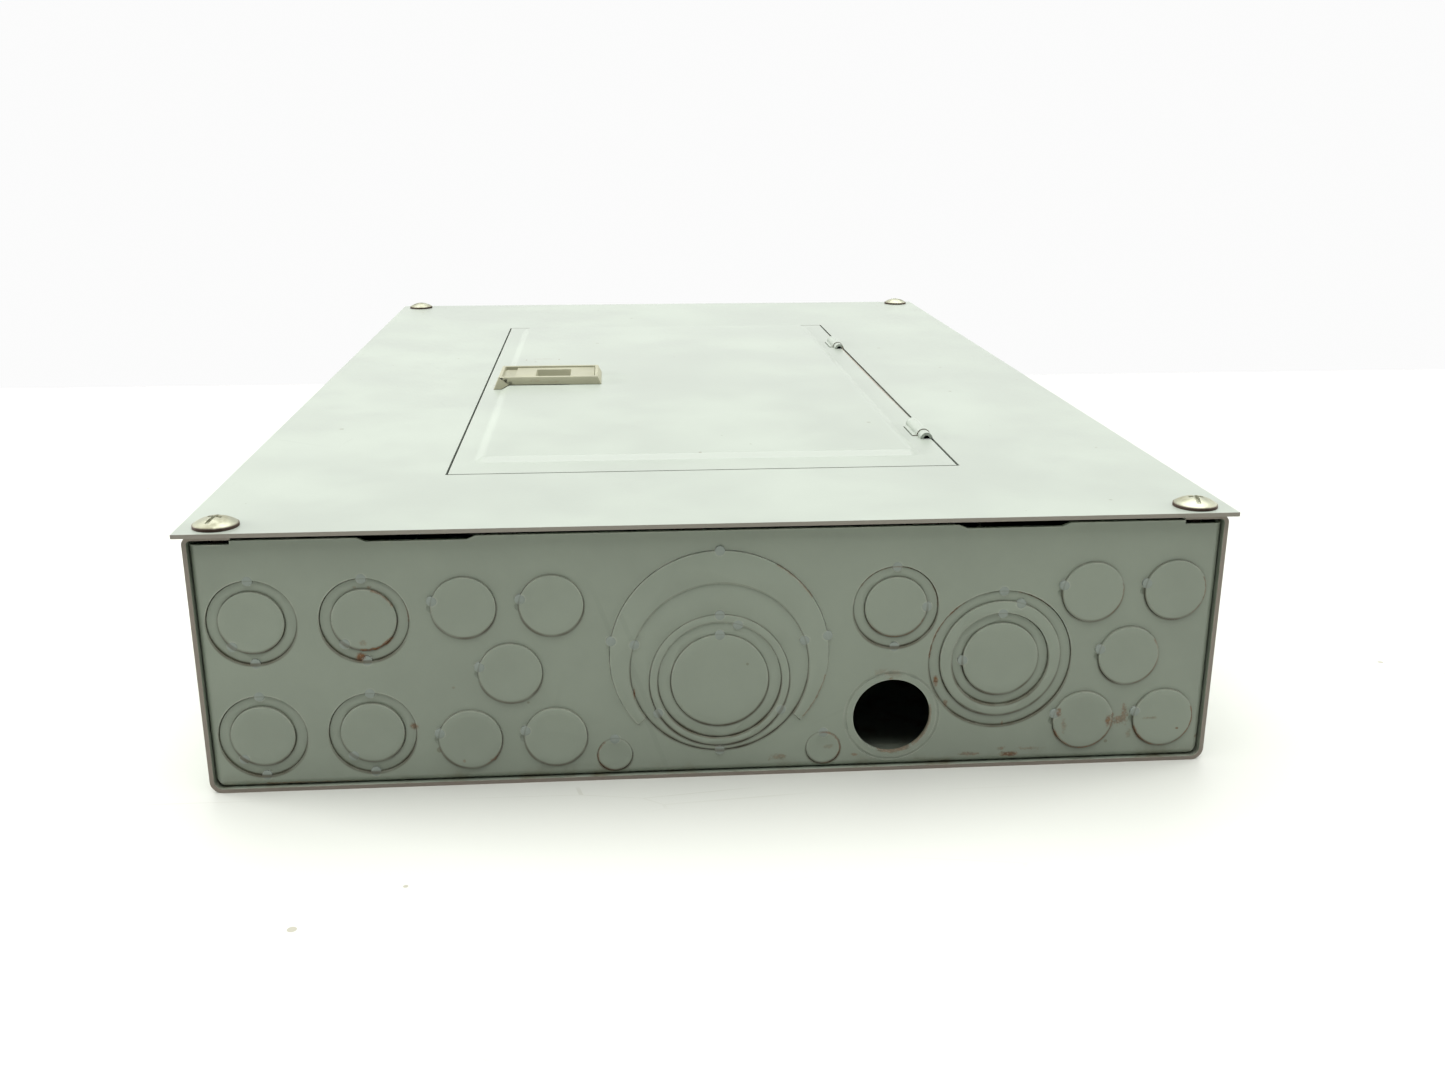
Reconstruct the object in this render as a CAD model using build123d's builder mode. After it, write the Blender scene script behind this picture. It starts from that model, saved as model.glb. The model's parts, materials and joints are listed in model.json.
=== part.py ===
from build123d import *
import math
import os

# Residential load center, lying on its back with the front cover up.
# Millimetres. The origin is at the middle of the back's outside face, +Z points out of the front,
# +Y runs along the box from the lower end wall to the upper one, and the door opens towards +X.

os.makedirs("parts", exist_ok=True)

# ---------------------------------------------------------------- enclosure
box_width = 362.0
box_length = 558.0
box_depth = 95.25
wrap_sheet = 1.5
wrap_bend = 4.5
lip_bend = 3.0
lip_width = 16.0
back_hole_radius = 3.6
back_hole_inset_x = 34.85
back_hole_inset_y = 50.4

# ---------------------------------------------------------------- end walls
wall_sheet = 1.5
wall_recess = 0.8
wall_side_gap = 0.2
wall_flange = 15.0
wall_bend = 3.0
wall_top_gap = 1.95
wall_shoulder_drop = 1.3
wall_shoulder_width = 13.8
wall_corner_cut = 4.0
scallop_depth = 1.3
scallop_width = 34.0
scallop_slope = 3.0
scallop_centres = (-103.5, 104.0)

# ---------------------------------------------------------------- knockouts
slit = 0.45
tie_width = 3.2
dimple_depth = 0.4
dimple_ball = 4.0
half_inch = 11.1
three_quarter = 15.1
small_knockout = 6.2
knockout_height = 42.4
double_group_x = -142.0
double_pitch_x = 38.0
double_pitch_z = 42.5
pair_x = 62.7
pair_pitch_z = 42.0
quincunx_centres = (-73.8, 149.0)
quincunx_step_x = 15.1
quincunx_step_z = 24.9
nest_radii = (17.4, 22.0, 25.0, 31.8, 38.9)
nest_heights = (37.4, 37.4, 37.2, 42.15, 47.1)
nest_tie_angles = ((90,), (73,), (90, 208, 332), (18, 162, 270), (9.5, 90, 170.5))
nest_outer_sweep = 41.7
small_knockout_x = 37.8
small_knockout_z = 9.5
quad_x = 101.6
quad_radii = (13.8, 17.6, 22.0, 26.0)
quad_tie_angles = (180, 90, 73, 90)
open_hole_radius = 14.2
open_hole_rim = 17.0
open_rim_width = 1.0
open_rim_depth = 0.25

# ---------------------------------------------------------------- cover and its screws
cover_sheet = 1.5
cover_overhang = 2.5
opening_half_width = 101.2
opening_centre_y = -19.0
opening_margin = 16.5
cover_screw_inset_x = 10.0
cover_screw_inset_y = 7.0
cover_screw_head = 7.75
cover_screw_rise = 2.6
cover_screw_edge = 1.0
cover_screw_shank = 2.3
cover_screw_length = 9.0
cover_screw_slot = 1.5
cover_screw_slot_depth = 1.3
cover_screw_turns = (14, -38, 71, 25)
screw_clearance = 0.1

# ---------------------------------------------------------------- door and hinge
door_sheet = 1.2
door_gap = 0.9
door_edge_past_pin = 1.9
pin_radius = 1.4
pin_clearance = 0.08
pin_seat_clearance = 0.02
pin_rise = 0.15
pin_edge_distance = 3.0
pin_seat = 6.0
tab_width = 18.0
tab_pad_reach = 4.7
tab_pad_rise = 0.35
tab_side_gap = 0.5
tab_notch_gap = 0.4
tab_insets = (61.5, 79.0)
panel_rise = 2.0
panel_slope = 3.5
panel_margin_left = 8.5
panel_margin_right = 10.5
panel_margin_front = 17.0
panel_margin_back = 7.5
panel_corner = 5.0
card_thickness = 0.3
card_inset_x = 10.0
card_inset_y = 28.0

# ---------------------------------------------------------------- latch
latch_length = 56.4
latch_depth = 35.7
latch_rise = 4.1
latch_left_overhang = 4.3
latch_front_y = -37.2
latch_end_slope = 2.8
latch_side_slope = 1.5
latch_rim = 1.5
latch_recess = 2.0
slide_sheet = 1.0
slide_gap = 0.3
slide_lift = 0.1
slide_travel = 6.0
thumb_offset = 29.8
thumb_length = 18.0
thumb_width = 19.0
thumb_depth = 5.2
thumb_wall = 1.6
keeper_reach = 2.5
tongue_width = 12.0
tongue_height = 1.6
tongue_shy = 0.8
card_gap = 6.0

# ---------------------------------------------------------------- interior layout
row_count = 8
pitch = 25.4
main_gap = 6.8
main_length = 135.0
pan_sheet = 1.5
pan_height = 18.5
pan_half_width = 88.0
pan_foot = 24.0
pan_bend = 3.0
pan_underrun = 8.5
pan_overrun = 36.0
pan_screw_inset = 30.0
pan_screw_radius = 2.2
pan_screw_head = 4.5
pan_screw_head_height = 2.6
rail_sheet = 1.5
rail_foot = 9.0
rail_height = 10.0
rail_shelf = 9.8
rail_upstand = 11.0
rail_gap = 0.6
rail_bend = 2.0

# ---------------------------------------------------------------- bus
base_half_width = 27.0
base_thickness = 4.0
base_rib = 2.0
base_rib_height = 5.0
bus_inner = 9.0
bus_width = 12.0
bus_thickness = 3.0
bus_run_past = 18.0
stab_width = 10.0
stab_thickness = 2.0
stab_height = 11.0
jaw_clearance = 0.6
bus_screw_radius = 4.0
bus_screw_height = 2.2

# ---------------------------------------------------------------- branch breakers
case_gap = 0.4
case_inner = 8.0
case_length = 76.0
case_height = 46.0
case_terminal_drop = 18.0
case_terminal_length = 20.0
case_nose_length = 38.0
case_nose_start = 12.0
nose_height = 7.0
case_slope = 4.0
case_inner_drop = 8.0
case_round = 0.8
wire_hole_radius = 3.5
wire_hole_depth = 12.0
wire_hole_height = 20.0
terminal_screw_radius = 4.0
terminal_screw_height = 2.4
terminal_screw_inset = 10.0

handle_pivot_drop = 8.5
handle_reach = 16.5
handle_drum = 7.5
handle_drum_width = 8.4
handle_gap = 0.3
handle_root = 6.6
handle_tip = 4.6
handle_width = 7.6
handle_tilt = 17.0
handle_slot = 6.6
tie_bar_height = 4.0

# ---------------------------------------------------------------- main breaker
main_half_width = 54.0
main_nose_half_width = 31.0
main_nose_length = 55.0
main_nose_offset = 12.0
main_round = 1.5
main_handle_width = 30.0
main_handle_tilt = 15.0
lug_spacing = 54.0
lug_width = 20.0
lug_length = 28.0
lug_height = 24.0
lug_seat = 4.0
lug_bore = 7.5
lug_screw_radius = 5.5
lug_screw_length = 9.0
lug_hex = 3.2

# ---------------------------------------------------------------- dead front and fillers
dead_front_sheet = 1.2
dead_front_gap = 1.0
tray_setback = 5.0
tray_side_setback = 9.0
tray_flange = 12.0
cutout_clearance = 0.5
filler_thickness = 1.5
filler_lap = 2.5
filler_leg = 5.0
filler_leg_thickness = 1.2

# ---------------------------------------------------------------- neutral and ground
neutral_gap = 21.0
bar_width = 10.0
bar_height = 12.0
neutral_stand = 28.5
bar_screw_pitch = 12.7
bar_screw_radius = 2.4
bar_screw_stand = 2.0
bar_slot = 0.9
bar_hole_radius = 2.6
bar_hole_height = 5.0
neutral_screw_count = 17
crossover_width = 15.0
crossover_thickness = 3.0
crossover_gap = 2.0
insulator_size = 16.0
bonding_shank = 2.4
bonding_head = 5.0
bonding_head_height = 3.2
ground_screw_count = 10
ground_bar_inset = 24.0
ground_bar_x = -85.0

# ---------------------------------------------------------------- places worked out from the sizes
half_width = box_width / 2
half_length = box_length / 2
inner_half_width = half_width - wrap_sheet
wall_face = half_length - wall_recess
cover_bottom = box_depth
cover_top = box_depth + cover_sheet
cover_half_width = half_width + cover_overhang
cover_half_length = half_length + cover_overhang
screw_x = half_width - cover_screw_inset_x
screw_y = half_length - cover_screw_inset_y

rows_span = row_count * pitch
interior_length = rows_span + main_gap + main_length
opening_length = interior_length + 2 * opening_margin
opening_front = opening_centre_y - opening_length / 2
opening_back = opening_centre_y + opening_length / 2
rows_start = opening_front + opening_margin
rows_end = rows_start + rows_span
main_start = rows_end + main_gap
main_end = main_start + main_length
main_middle = (main_start + main_end) / 2 + main_nose_offset

door_bottom = cover_top - door_sheet
door_left = -opening_half_width + door_gap
door_front = opening_front + door_gap
door_back = opening_back - door_gap
pin_x = opening_half_width - pin_edge_distance
pin_z = cover_top + pin_rise
door_right = pin_x + door_edge_past_pin
bearing_radius = pin_radius + pin_clearance
seat_radius = pin_radius + pin_seat_clearance
knuckle_radius = seat_radius + door_sheet
tab_centres = (door_front + tab_insets[0], door_back - tab_insets[1])
notch_width = tab_width + 2 * tab_side_gap
pin_length = notch_width + 2 * pin_seat
notch_left = pin_x - tab_pad_reach - tab_notch_gap

panel_left = door_left + panel_margin_left
panel_right = door_right - panel_margin_right
panel_front = door_front + panel_margin_front
panel_back = door_back - panel_margin_back
panel_top = cover_top + panel_rise
panel_underside = panel_top - door_sheet
panel_middle_x = (panel_left + panel_right) / 2
panel_middle_y = (panel_front + panel_back) / 2
panel_width = panel_right - panel_left
panel_length = panel_back - panel_front

latch_left = panel_left - latch_left_overhang
latch_x = latch_left + latch_length / 2
latch_y = latch_front_y + latch_depth / 2
latch_top = panel_top + latch_rise
recess_floor = latch_top - latch_recess
recess_length = latch_length - 2 * (latch_end_slope + latch_rim)
recess_width = latch_depth - 2 * (latch_side_slope + latch_rim)
recess_left = latch_x - recess_length / 2
slide_top = recess_floor + slide_lift + slide_sheet
slide_length = recess_length - slide_travel - 2 * slide_gap
thumb_x = latch_left + thumb_offset
block_length = thumb_length + 2 * thumb_wall
block_width = thumb_width + 2 * thumb_wall
tongue_top = cover_bottom - slide_gap
tongue_bottom = tongue_top - tongue_height
tongue_tip = -opening_half_width + tongue_shy
neck_slot_length = block_length + slide_travel + 2 * slide_gap
neck_slot_width = block_width + 2 * slide_gap
neck_x = thumb_x - slide_travel / 2

pan_bottom = wrap_sheet
pan_top = pan_bottom + pan_height
pan_front = rows_start - pan_underrun
pan_back = main_end + pan_overrun
pan_middle = (pan_front + pan_back) / 2
pan_screw_x = pan_half_width + pan_foot * 2 / 3
pan_screw_spacing = pan_back - pan_front - 2 * pan_screw_inset
case_bottom = pan_top + rail_height
case_top = case_bottom + case_height
nose_top = case_top + nose_height
case_outer = case_inner + case_length
nose_start = case_inner + case_nose_start
nose_end = nose_start + case_nose_length
handle_x = (nose_start + nose_end) / 2
pivot_z = nose_top - handle_pivot_drop
dead_front_bottom = case_top + dead_front_gap
dead_front_top = dead_front_bottom + dead_front_sheet
neutral_x = pan_half_width + pan_foot + neutral_gap + bar_width / 2
neutral_bottom = wrap_sheet + neutral_stand
neutral_top = neutral_bottom + bar_height
crossover_back = rows_start - crossover_gap
crossover_middle = crossover_back - crossover_width / 2
tray_half_width = opening_half_width + tray_side_setback
tray_front = opening_front - tray_setback
tray_back = opening_back + tray_setback
tray_length = tray_back - tray_front
branch_spaces = [("left", 7), ("left", 6), ("left", 5), ("left", 4), ("right", 7), ("right", 6)]
double_rows = (5, 4)
open_rows = (0, 1, 2, 3)


def row_centre(row):
    return rows_start + (row + 0.5) * pitch


def xz_plane(y):
    """The plane across the box at y: sketch x is X, sketch y is Z, and extrude runs towards -Y."""
    return Plane.XZ.offset(-y)




def row_centre(row):
    return rows_start + (row + 0.5) * pitch


def side_sign(side):
    return 1 if side == "right" else -1


def xz_plane(y):
    """The plane across the box at y: sketch x is X, sketch y is Z, and extrude runs towards -Y."""
    return Plane.XZ.offset(-y)


def yz_plane(x):
    """The plane along the box at x: sketch x is Y, sketch y is Z, and extrude runs towards +X."""
    return Plane.YZ.offset(x)


def tilted_plane(x, y, tilt):
    """A plane across the box through a branch handle's pivot, whose sketch y leans by tilt towards -X."""
    lean = math.radians(tilt)
    return Plane((x, y, pivot_z), x_dir=(math.cos(lean), 0, math.sin(lean)), z_dir=(0, -1, 0))


def panel_plane(z):
    return Plane((panel_middle_x, panel_middle_y, z))


def latch_plane(z):
    return Plane((latch_x, latch_y, z))


def opening_plane(z):
    return Plane((0, opening_centre_y, z))


# ================================================================ enclosure wrap
# One sheet: the back, two long sides and the two lips that the cover lies on.
with BuildPart() as enclosure_wrap:
    with BuildSketch(xz_plane(half_length)):
        with BuildLine():
            FilletPolyline(
                (half_width - lip_width, box_depth),
                (half_width, box_depth),
                (half_width, 0),
                (-half_width, 0),
                (-half_width, box_depth),
                (-half_width + lip_width, box_depth),
                radius=[lip_bend, wrap_bend, wrap_bend, lip_bend],
            )
            offset(amount=wrap_sheet, side=Side.RIGHT)
        make_face()
    extrude(amount=box_length)
    with GridLocations(box_width - 2 * back_hole_inset_x, box_length - 2 * back_hole_inset_y, 2, 2):
        Cylinder(back_hole_radius, 4 * wrap_sheet, mode=Mode.SUBTRACT)
    with Locations((0, pan_middle)):
        with GridLocations(2 * pan_screw_x, pan_screw_spacing, 2, 2):
            Cylinder(pan_screw_radius + screw_clearance, 4 * wrap_sheet, mode=Mode.SUBTRACT)
    with Locations((0, 0, box_depth)):
        with GridLocations(2 * screw_x, 2 * screw_y, 2, 2):
            Cylinder(cover_screw_shank + screw_clearance, 4 * wrap_sheet, mode=Mode.SUBTRACT)
    with Locations((-neutral_x, crossover_middle)):
        Cylinder(bonding_shank + screw_clearance, 4 * wrap_sheet, mode=Mode.SUBTRACT)
enclosure_wrap.part.label = "enclosure_wrap"
export_step(enclosure_wrap.part, "parts/enclosure_wrap.step")


# ================================================================ end walls
def knockout_rings():
    """Every sheared ring of an end wall as (x, z, radius, tie angles), without the nest's outer ring."""
    rings = []
    low = knockout_height - double_pitch_z / 2
    high = knockout_height + double_pitch_z / 2
    for x in (double_group_x - double_pitch_x / 2, double_group_x + double_pitch_x / 2):
        for z in (low, high):
            rings.append((x, z, half_inch, (230,)))
            rings.append((x, z, three_quarter, (90, 270)))
    pair_high = knockout_height + pair_pitch_z / 2
    rings.append((pair_x, pair_high, half_inch, (0,)))
    rings.append((pair_x, pair_high, three_quarter, (90, 270)))
    for middle in quincunx_centres:
        rings.append((middle, knockout_height, half_inch, (180,)))
        for x in (middle - quincunx_step_x, middle + quincunx_step_x):
            for z in (knockout_height - quincunx_step_z, knockout_height + quincunx_step_z):
                rings.append((x, z, half_inch, (180,)))
    for radius, height, ties in zip(nest_radii[:-1], nest_heights, nest_tie_angles):
        rings.append((0, height, radius, ties))
    for x in (-small_knockout_x, small_knockout_x):
        rings.append((x, small_knockout_z, small_knockout, (90,)))
    for radius, tie in zip(quad_radii, quad_tie_angles):
        rings.append((quad_x, knockout_height, radius, (tie,)))
    return rings


def ring_slits(x, z, radius, ties, first=None, last=None):
    """The sheared stretches of one ring between its ties, as edges."""
    half_tie = math.degrees(tie_width / 2 / radius)
    edges = []
    if first is None:
        starts = list(ties)
        ends = list(ties[1:]) + [ties[0] + 360]
        stretches = [(a + half_tie, b - half_tie) for a, b in zip(starts, ends)]
    else:
        starts = [first - half_tie] + list(ties)
        ends = list(ties) + [last + half_tie]
        stretches = [(a + half_tie, b - half_tie) for a, b in zip(starts, ends)]
    for start, end in stretches:
        edges.append(Edge.make_circle(radius, Plane((x, z, 0)), start_angle=start, end_angle=end))
    return edges


def tie_points(x, z, radius, ties):
    return [(x + radius * math.cos(math.radians(a)), z + radius * math.sin(math.radians(a))) for a in ties]


def end_wall(label, removed):
    """The wall of the -Y end, with its flanges, knockouts and corner reliefs."""
    wall_half = inner_half_width - wall_side_gap
    wall_top = box_depth - wall_top_gap
    shoulder = wall_top - wall_shoulder_drop
    hole_z = knockout_height - pair_pitch_z / 2
    rings = knockout_rings()
    if not removed:
        rings.append((pair_x, hole_z, open_hole_radius, (90, 270)))
    outer_radius = nest_radii[-1]
    outer_height = nest_heights[-1]
    outer_ties = nest_tie_angles[-1]
    slits = [edge for ring in rings for edge in ring_slits(*ring)]
    slits += ring_slits(
        0, outer_height, outer_radius, outer_ties, -nest_outer_sweep, 180 + nest_outer_sweep
    )
    dimples = [point for ring in rings for point in tie_points(*ring)]
    dimples += tie_points(0, outer_height, outer_radius, outer_ties)
    back_plane = xz_plane(-wall_face + wall_flange)
    with BuildPart() as wall:
        with BuildSketch(back_plane):
            with Locations((0, wrap_sheet)):
                Rectangle(2 * wall_half, wall_top - wrap_sheet, align=(Align.CENTER, Align.MIN))
        extrude(amount=wall_flange)
        outside = wall.faces().sort_by(Axis.Y)[0].edges()
        fillet(outside.sort_by(Axis.Z)[:-1], wall_bend)
        open_top = wall.faces().sort_by(Axis.Z)[-1]
        open_back = wall.faces().sort_by(Axis.Y)[-1]
        offset(amount=-wall_sheet, openings=[open_top, open_back])
        with BuildSketch(back_plane):
            for side in (-1, 1):
                with BuildLine():
                    Polyline(
                        (side * wall_half, wrap_sheet),
                        (side * wall_half, wrap_sheet + wall_corner_cut),
                        (side * (wall_half - wall_corner_cut), wrap_sheet),
                        close=True,
                    )
                make_face()
                with Locations((side * (wall_half - wall_shoulder_width), shoulder)):
                    outward = Align.MIN if side > 0 else Align.MAX
                    Rectangle(2 * wall_shoulder_width, 2 * wall_shoulder_drop, align=(outward, Align.MIN))
        extrude(amount=wall_flange, mode=Mode.SUBTRACT)
        with BuildSketch(back_plane):
            for centre in scallop_centres:
                with BuildLine():
                    Polyline(
                        (centre - scallop_width / 2 - scallop_slope, wall_top),
                        (centre - scallop_width / 2, wall_top - scallop_depth),
                        (centre + scallop_width / 2, wall_top - scallop_depth),
                        (centre + scallop_width / 2 + scallop_slope, wall_top),
                        close=True,
                    )
                make_face()
        extrude(amount=wall_flange, mode=Mode.SUBTRACT)
        with BuildSketch(back_plane):
            for edge in slits:
                SlotArc(edge, slit)
            if removed:
                with Locations((pair_x, hole_z)):
                    Circle(open_hole_radius)
        extrude(amount=wall_flange, mode=Mode.SUBTRACT)
        with Locations([(x, -wall_face - dimple_ball + dimple_depth, z) for x, z in dimples]):
            Sphere(dimple_ball, mode=Mode.SUBTRACT)
        if removed:
            with BuildSketch(xz_plane(-wall_face + open_rim_depth)):
                with Locations((pair_x, hole_z)):
                    Circle(open_hole_rim + open_rim_width / 2)
                    Circle(open_hole_rim - open_rim_width / 2, mode=Mode.SUBTRACT)
            extrude(amount=open_rim_depth, mode=Mode.SUBTRACT)
    wall.part.label = label
    return wall.part


lower_end_wall = end_wall("lower_end_wall", True)
export_step(lower_end_wall, "parts/lower_end_wall.step")

upper_end_wall = Rot(Z=180) * end_wall("upper_end_wall", False)
upper_end_wall.label = "upper_end_wall"
export_step(upper_end_wall, "parts/upper_end_wall.step")

# ================================================================ cover plate
# A flat sheet. Two tabs of it reach over the door's pins as half-round bearings.
with BuildPart() as cover_plate:
    with BuildSketch(Plane.XY.offset(cover_bottom)):
        Rectangle(2 * cover_half_width, 2 * cover_half_length)
        with Locations((0, opening_centre_y)):
            Rectangle(2 * opening_half_width, opening_length, mode=Mode.SUBTRACT)
        with GridLocations(2 * screw_x, 2 * screw_y, 2, 2):
            Circle(cover_screw_shank + screw_clearance, mode=Mode.SUBTRACT)
    extrude(amount=cover_sheet)
    arch_radius = bearing_radius + cover_sheet
    pad_top = cover_top + tab_pad_rise
    for y in tab_centres:
        with BuildSketch(xz_plane(y + tab_width / 2)):
            with Locations((pin_x, pin_z)):
                Circle(arch_radius)
                Rectangle(
                    3 * arch_radius, arch_radius, align=(Align.CENTER, Align.MAX), mode=Mode.SUBTRACT
                )
            with Locations((pin_x - tab_pad_reach, pad_top)):
                Rectangle(tab_pad_reach, cover_sheet, align=(Align.MIN, Align.MAX))
            with Locations((opening_half_width, cover_bottom)):
                Rectangle(pin_edge_distance, pin_z - cover_bottom, align=(Align.MAX, Align.MIN))
            with Locations((pin_x, pin_z)):
                Circle(bearing_radius, mode=Mode.SUBTRACT)
                Rectangle(
                    2 * bearing_radius, 3 * cover_sheet, align=(Align.CENTER, Align.MAX), mode=Mode.SUBTRACT
                )
        extrude(amount=tab_width)
cover_plate.part.label = "cover_plate"
export_step(cover_plate.part, "parts/cover_plate.step")

# Each screw is a low dome with a rim, a slot and a shank into the lip.
with BuildPart() as cover_screws:
    corners = [(x, y) for x in (-screw_x, screw_x) for y in (-screw_y, screw_y)]
    dome_radius = (cover_screw_head**2 + cover_screw_rise**2) / (2 * cover_screw_rise)
    for (x, y), turn in zip(corners, cover_screw_turns):
        with BuildSketch(Plane.XZ.offset(-y)) as profile:
            with Locations((x, cover_top + cover_screw_edge + cover_screw_rise - dome_radius)):
                Circle(dome_radius)
            with Locations((x, cover_top + cover_screw_edge)):
                below = (Align.CENTER, Align.MAX)
                Rectangle(3 * dome_radius, 3 * dome_radius, align=below, mode=Mode.SUBTRACT)
            with Locations((x, cover_top)):
                Rectangle(2 * cover_screw_head, cover_screw_edge, align=(Align.CENTER, Align.MIN))
                Rectangle(2 * cover_screw_shank, cover_screw_length, align=(Align.CENTER, Align.MAX))
            with Locations((x, cover_top)):
                left_half = (Align.MAX, Align.CENTER)
                Rectangle(3 * dome_radius, 4 * dome_radius, align=left_half, mode=Mode.SUBTRACT)
        revolve(axis=Axis((x, y, 0), (0, 0, 1)))
        slot_plane = Plane.XY.offset(cover_top + cover_screw_edge + cover_screw_rise)
        with BuildSketch(slot_plane):
            with Locations((x, y)):
                Rectangle(3 * cover_screw_head, cover_screw_slot, rotation=turn)
        extrude(amount=-cover_screw_slot_depth, mode=Mode.SUBTRACT)
cover_screws.part.label = "cover_screws"
export_step(cover_screws.part, "parts/cover_screws.step")

# ================================================================ door
# One pressed sheet: a flat margin, a raised panel, two notches for the cover's tabs, and a half-round
# knuckle over each end of each pin.
with BuildPart() as door_panel:
    with BuildSketch(Plane.XY.offset(door_bottom)):
        with Locations((door_left, door_front)):
            Rectangle(door_right - door_left, door_back - door_front, align=(Align.MIN, Align.MIN))
    extrude(amount=door_sheet)
    with BuildSketch(panel_plane(cover_top)):
        RectangleRounded(panel_width, panel_length, panel_corner)
    with BuildSketch(panel_plane(panel_top)):
        RectangleRounded(panel_width - 2 * panel_slope, panel_length - 2 * panel_slope, panel_corner)
    loft()
    inner_shift = door_sheet / 4
    with BuildSketch(panel_plane(door_bottom)):
        RectangleRounded(panel_width - 2 * inner_shift, panel_length - 2 * inner_shift, panel_corner)
    with BuildSketch(panel_plane(panel_underside)):
        inset = panel_slope + inner_shift
        RectangleRounded(panel_width - 2 * inset, panel_length - 2 * inset, panel_corner)
    loft(mode=Mode.SUBTRACT)
    with BuildSketch(Plane.XY.offset(door_bottom)):
        for y in tab_centres:
            with Locations((door_right, y)):
                Rectangle(2 * (door_right - notch_left), notch_width)
                Rectangle(2 * (door_right - pin_x + seat_radius), pin_length)
        with Locations((neck_x, latch_y)):
            Rectangle(
                neck_slot_length + 2 * (thumb_wall + slide_gap),
                neck_slot_width + 2 * (thumb_wall + slide_gap),
            )
    extrude(amount=2 * panel_rise + door_sheet, mode=Mode.SUBTRACT)
    for y in tab_centres:
        for end in (notch_width / 2 + pin_seat, -notch_width / 2):
            with BuildSketch(xz_plane(y + end)):
                with Locations((pin_x, pin_z)):
                    Circle(knuckle_radius)
                    below = (Align.CENTER, Align.MAX)
                    Rectangle(3 * knuckle_radius, knuckle_radius, align=below, mode=Mode.SUBTRACT)
                with Locations((pin_x - seat_radius, door_bottom)):
                    Rectangle(door_sheet, pin_z - door_bottom, align=(Align.MAX, Align.MIN))
                with Locations((pin_x, pin_z)):
                    Circle(seat_radius, mode=Mode.SUBTRACT)
            extrude(amount=pin_seat)
door_panel.part.label = "door_panel"
export_step(door_panel.part, "parts/door_panel.step")

with BuildPart() as hinge_pins:
    for y in tab_centres:
        with BuildSketch(xz_plane(y + pin_length / 2)):
            with Locations((pin_x, pin_z)):
                Circle(pin_radius)
        extrude(amount=pin_length)
hinge_pins.part.label = "hinge_pins"
export_step(hinge_pins.part, "parts/hinge_pins.step")

with BuildPart() as directory_card:
    card_left = latch_left + latch_length + card_gap
    card_right = panel_right - panel_slope - card_inset_x
    with BuildSketch(Plane.XY.offset(panel_underside - card_thickness)):
        with Locations(((card_left + card_right) / 2, panel_middle_y)):
            Rectangle(card_right - card_left, panel_length - 2 * card_inset_y)
    extrude(amount=card_thickness)
directory_card.part.label = "directory_card"
export_step(directory_card.part, "parts/directory_card.step")

# ================================================================ latch
# The bezel is a low frustum that sits on the raised panel, with a foot down to the margin on its left.
with BuildPart() as latch_bezel:
    with BuildSketch(latch_plane(cover_top)):
        Rectangle(latch_length, latch_depth)
    with BuildSketch(latch_plane(latch_top)):
        Rectangle(latch_length - 2 * latch_end_slope, latch_depth - 2 * latch_side_slope)
    loft()
    with BuildSketch(panel_plane(cover_top)):
        RectangleRounded(panel_width, panel_length, panel_corner)
    with BuildSketch(panel_plane(panel_top)):
        RectangleRounded(panel_width - 2 * panel_slope, panel_length - 2 * panel_slope, panel_corner)
    loft(mode=Mode.SUBTRACT)
    with BuildSketch(Plane.XY.offset(recess_floor)):
        with Locations((latch_x, latch_y)):
            Rectangle(recess_length, recess_width)
    extrude(amount=latch_recess, mode=Mode.SUBTRACT)
    with BuildSketch(Plane.XY.offset(cover_bottom)):
        with Locations((neck_x, latch_y)):
            Rectangle(neck_slot_length + 2 * thumb_wall, neck_slot_width + 2 * thumb_wall)
    extrude(amount=recess_floor - cover_bottom)
    with BuildSketch(Plane.XY.offset(cover_bottom)):
        with Locations((neck_x, latch_y)):
            Rectangle(neck_slot_length, neck_slot_width)
    extrude(amount=latch_top - cover_bottom, mode=Mode.SUBTRACT)
latch_bezel.part.label = "latch_bezel"
export_step(latch_bezel.part, "parts/latch_bezel.step")

with BuildPart() as latch_slide:
    with BuildSketch(Plane.XY.offset(slide_top)):
        with Locations((recess_left + slide_travel + slide_gap, latch_y)):
            Rectangle(slide_length, recess_width - 2 * slide_gap, align=(Align.MIN, Align.CENTER))
    extrude(amount=-slide_sheet)
    with BuildSketch(Plane.XY.offset(slide_top)):
        with Locations((thumb_x, latch_y)):
            Rectangle(block_length, block_width)
    extrude(amount=tongue_bottom - slide_top)
    with BuildSketch(Plane.XY.offset(tongue_bottom)):
        with Locations((thumb_x, latch_y)):
            Rectangle(block_length, neck_slot_width + 2 * keeper_reach)
        with Locations((thumb_x, latch_y)):
            Rectangle(thumb_x - tongue_tip, tongue_width, align=(Align.MAX, Align.CENTER))
    extrude(amount=tongue_height)
    with BuildSketch(Plane.XY.offset(slide_top)):
        with Locations((thumb_x, latch_y)):
            Rectangle(thumb_length, thumb_width)
    extrude(amount=-thumb_depth, mode=Mode.SUBTRACT)
latch_slide.part.label = "latch_slide"
export_step(latch_slide.part, "parts/latch_slide.step")

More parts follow.
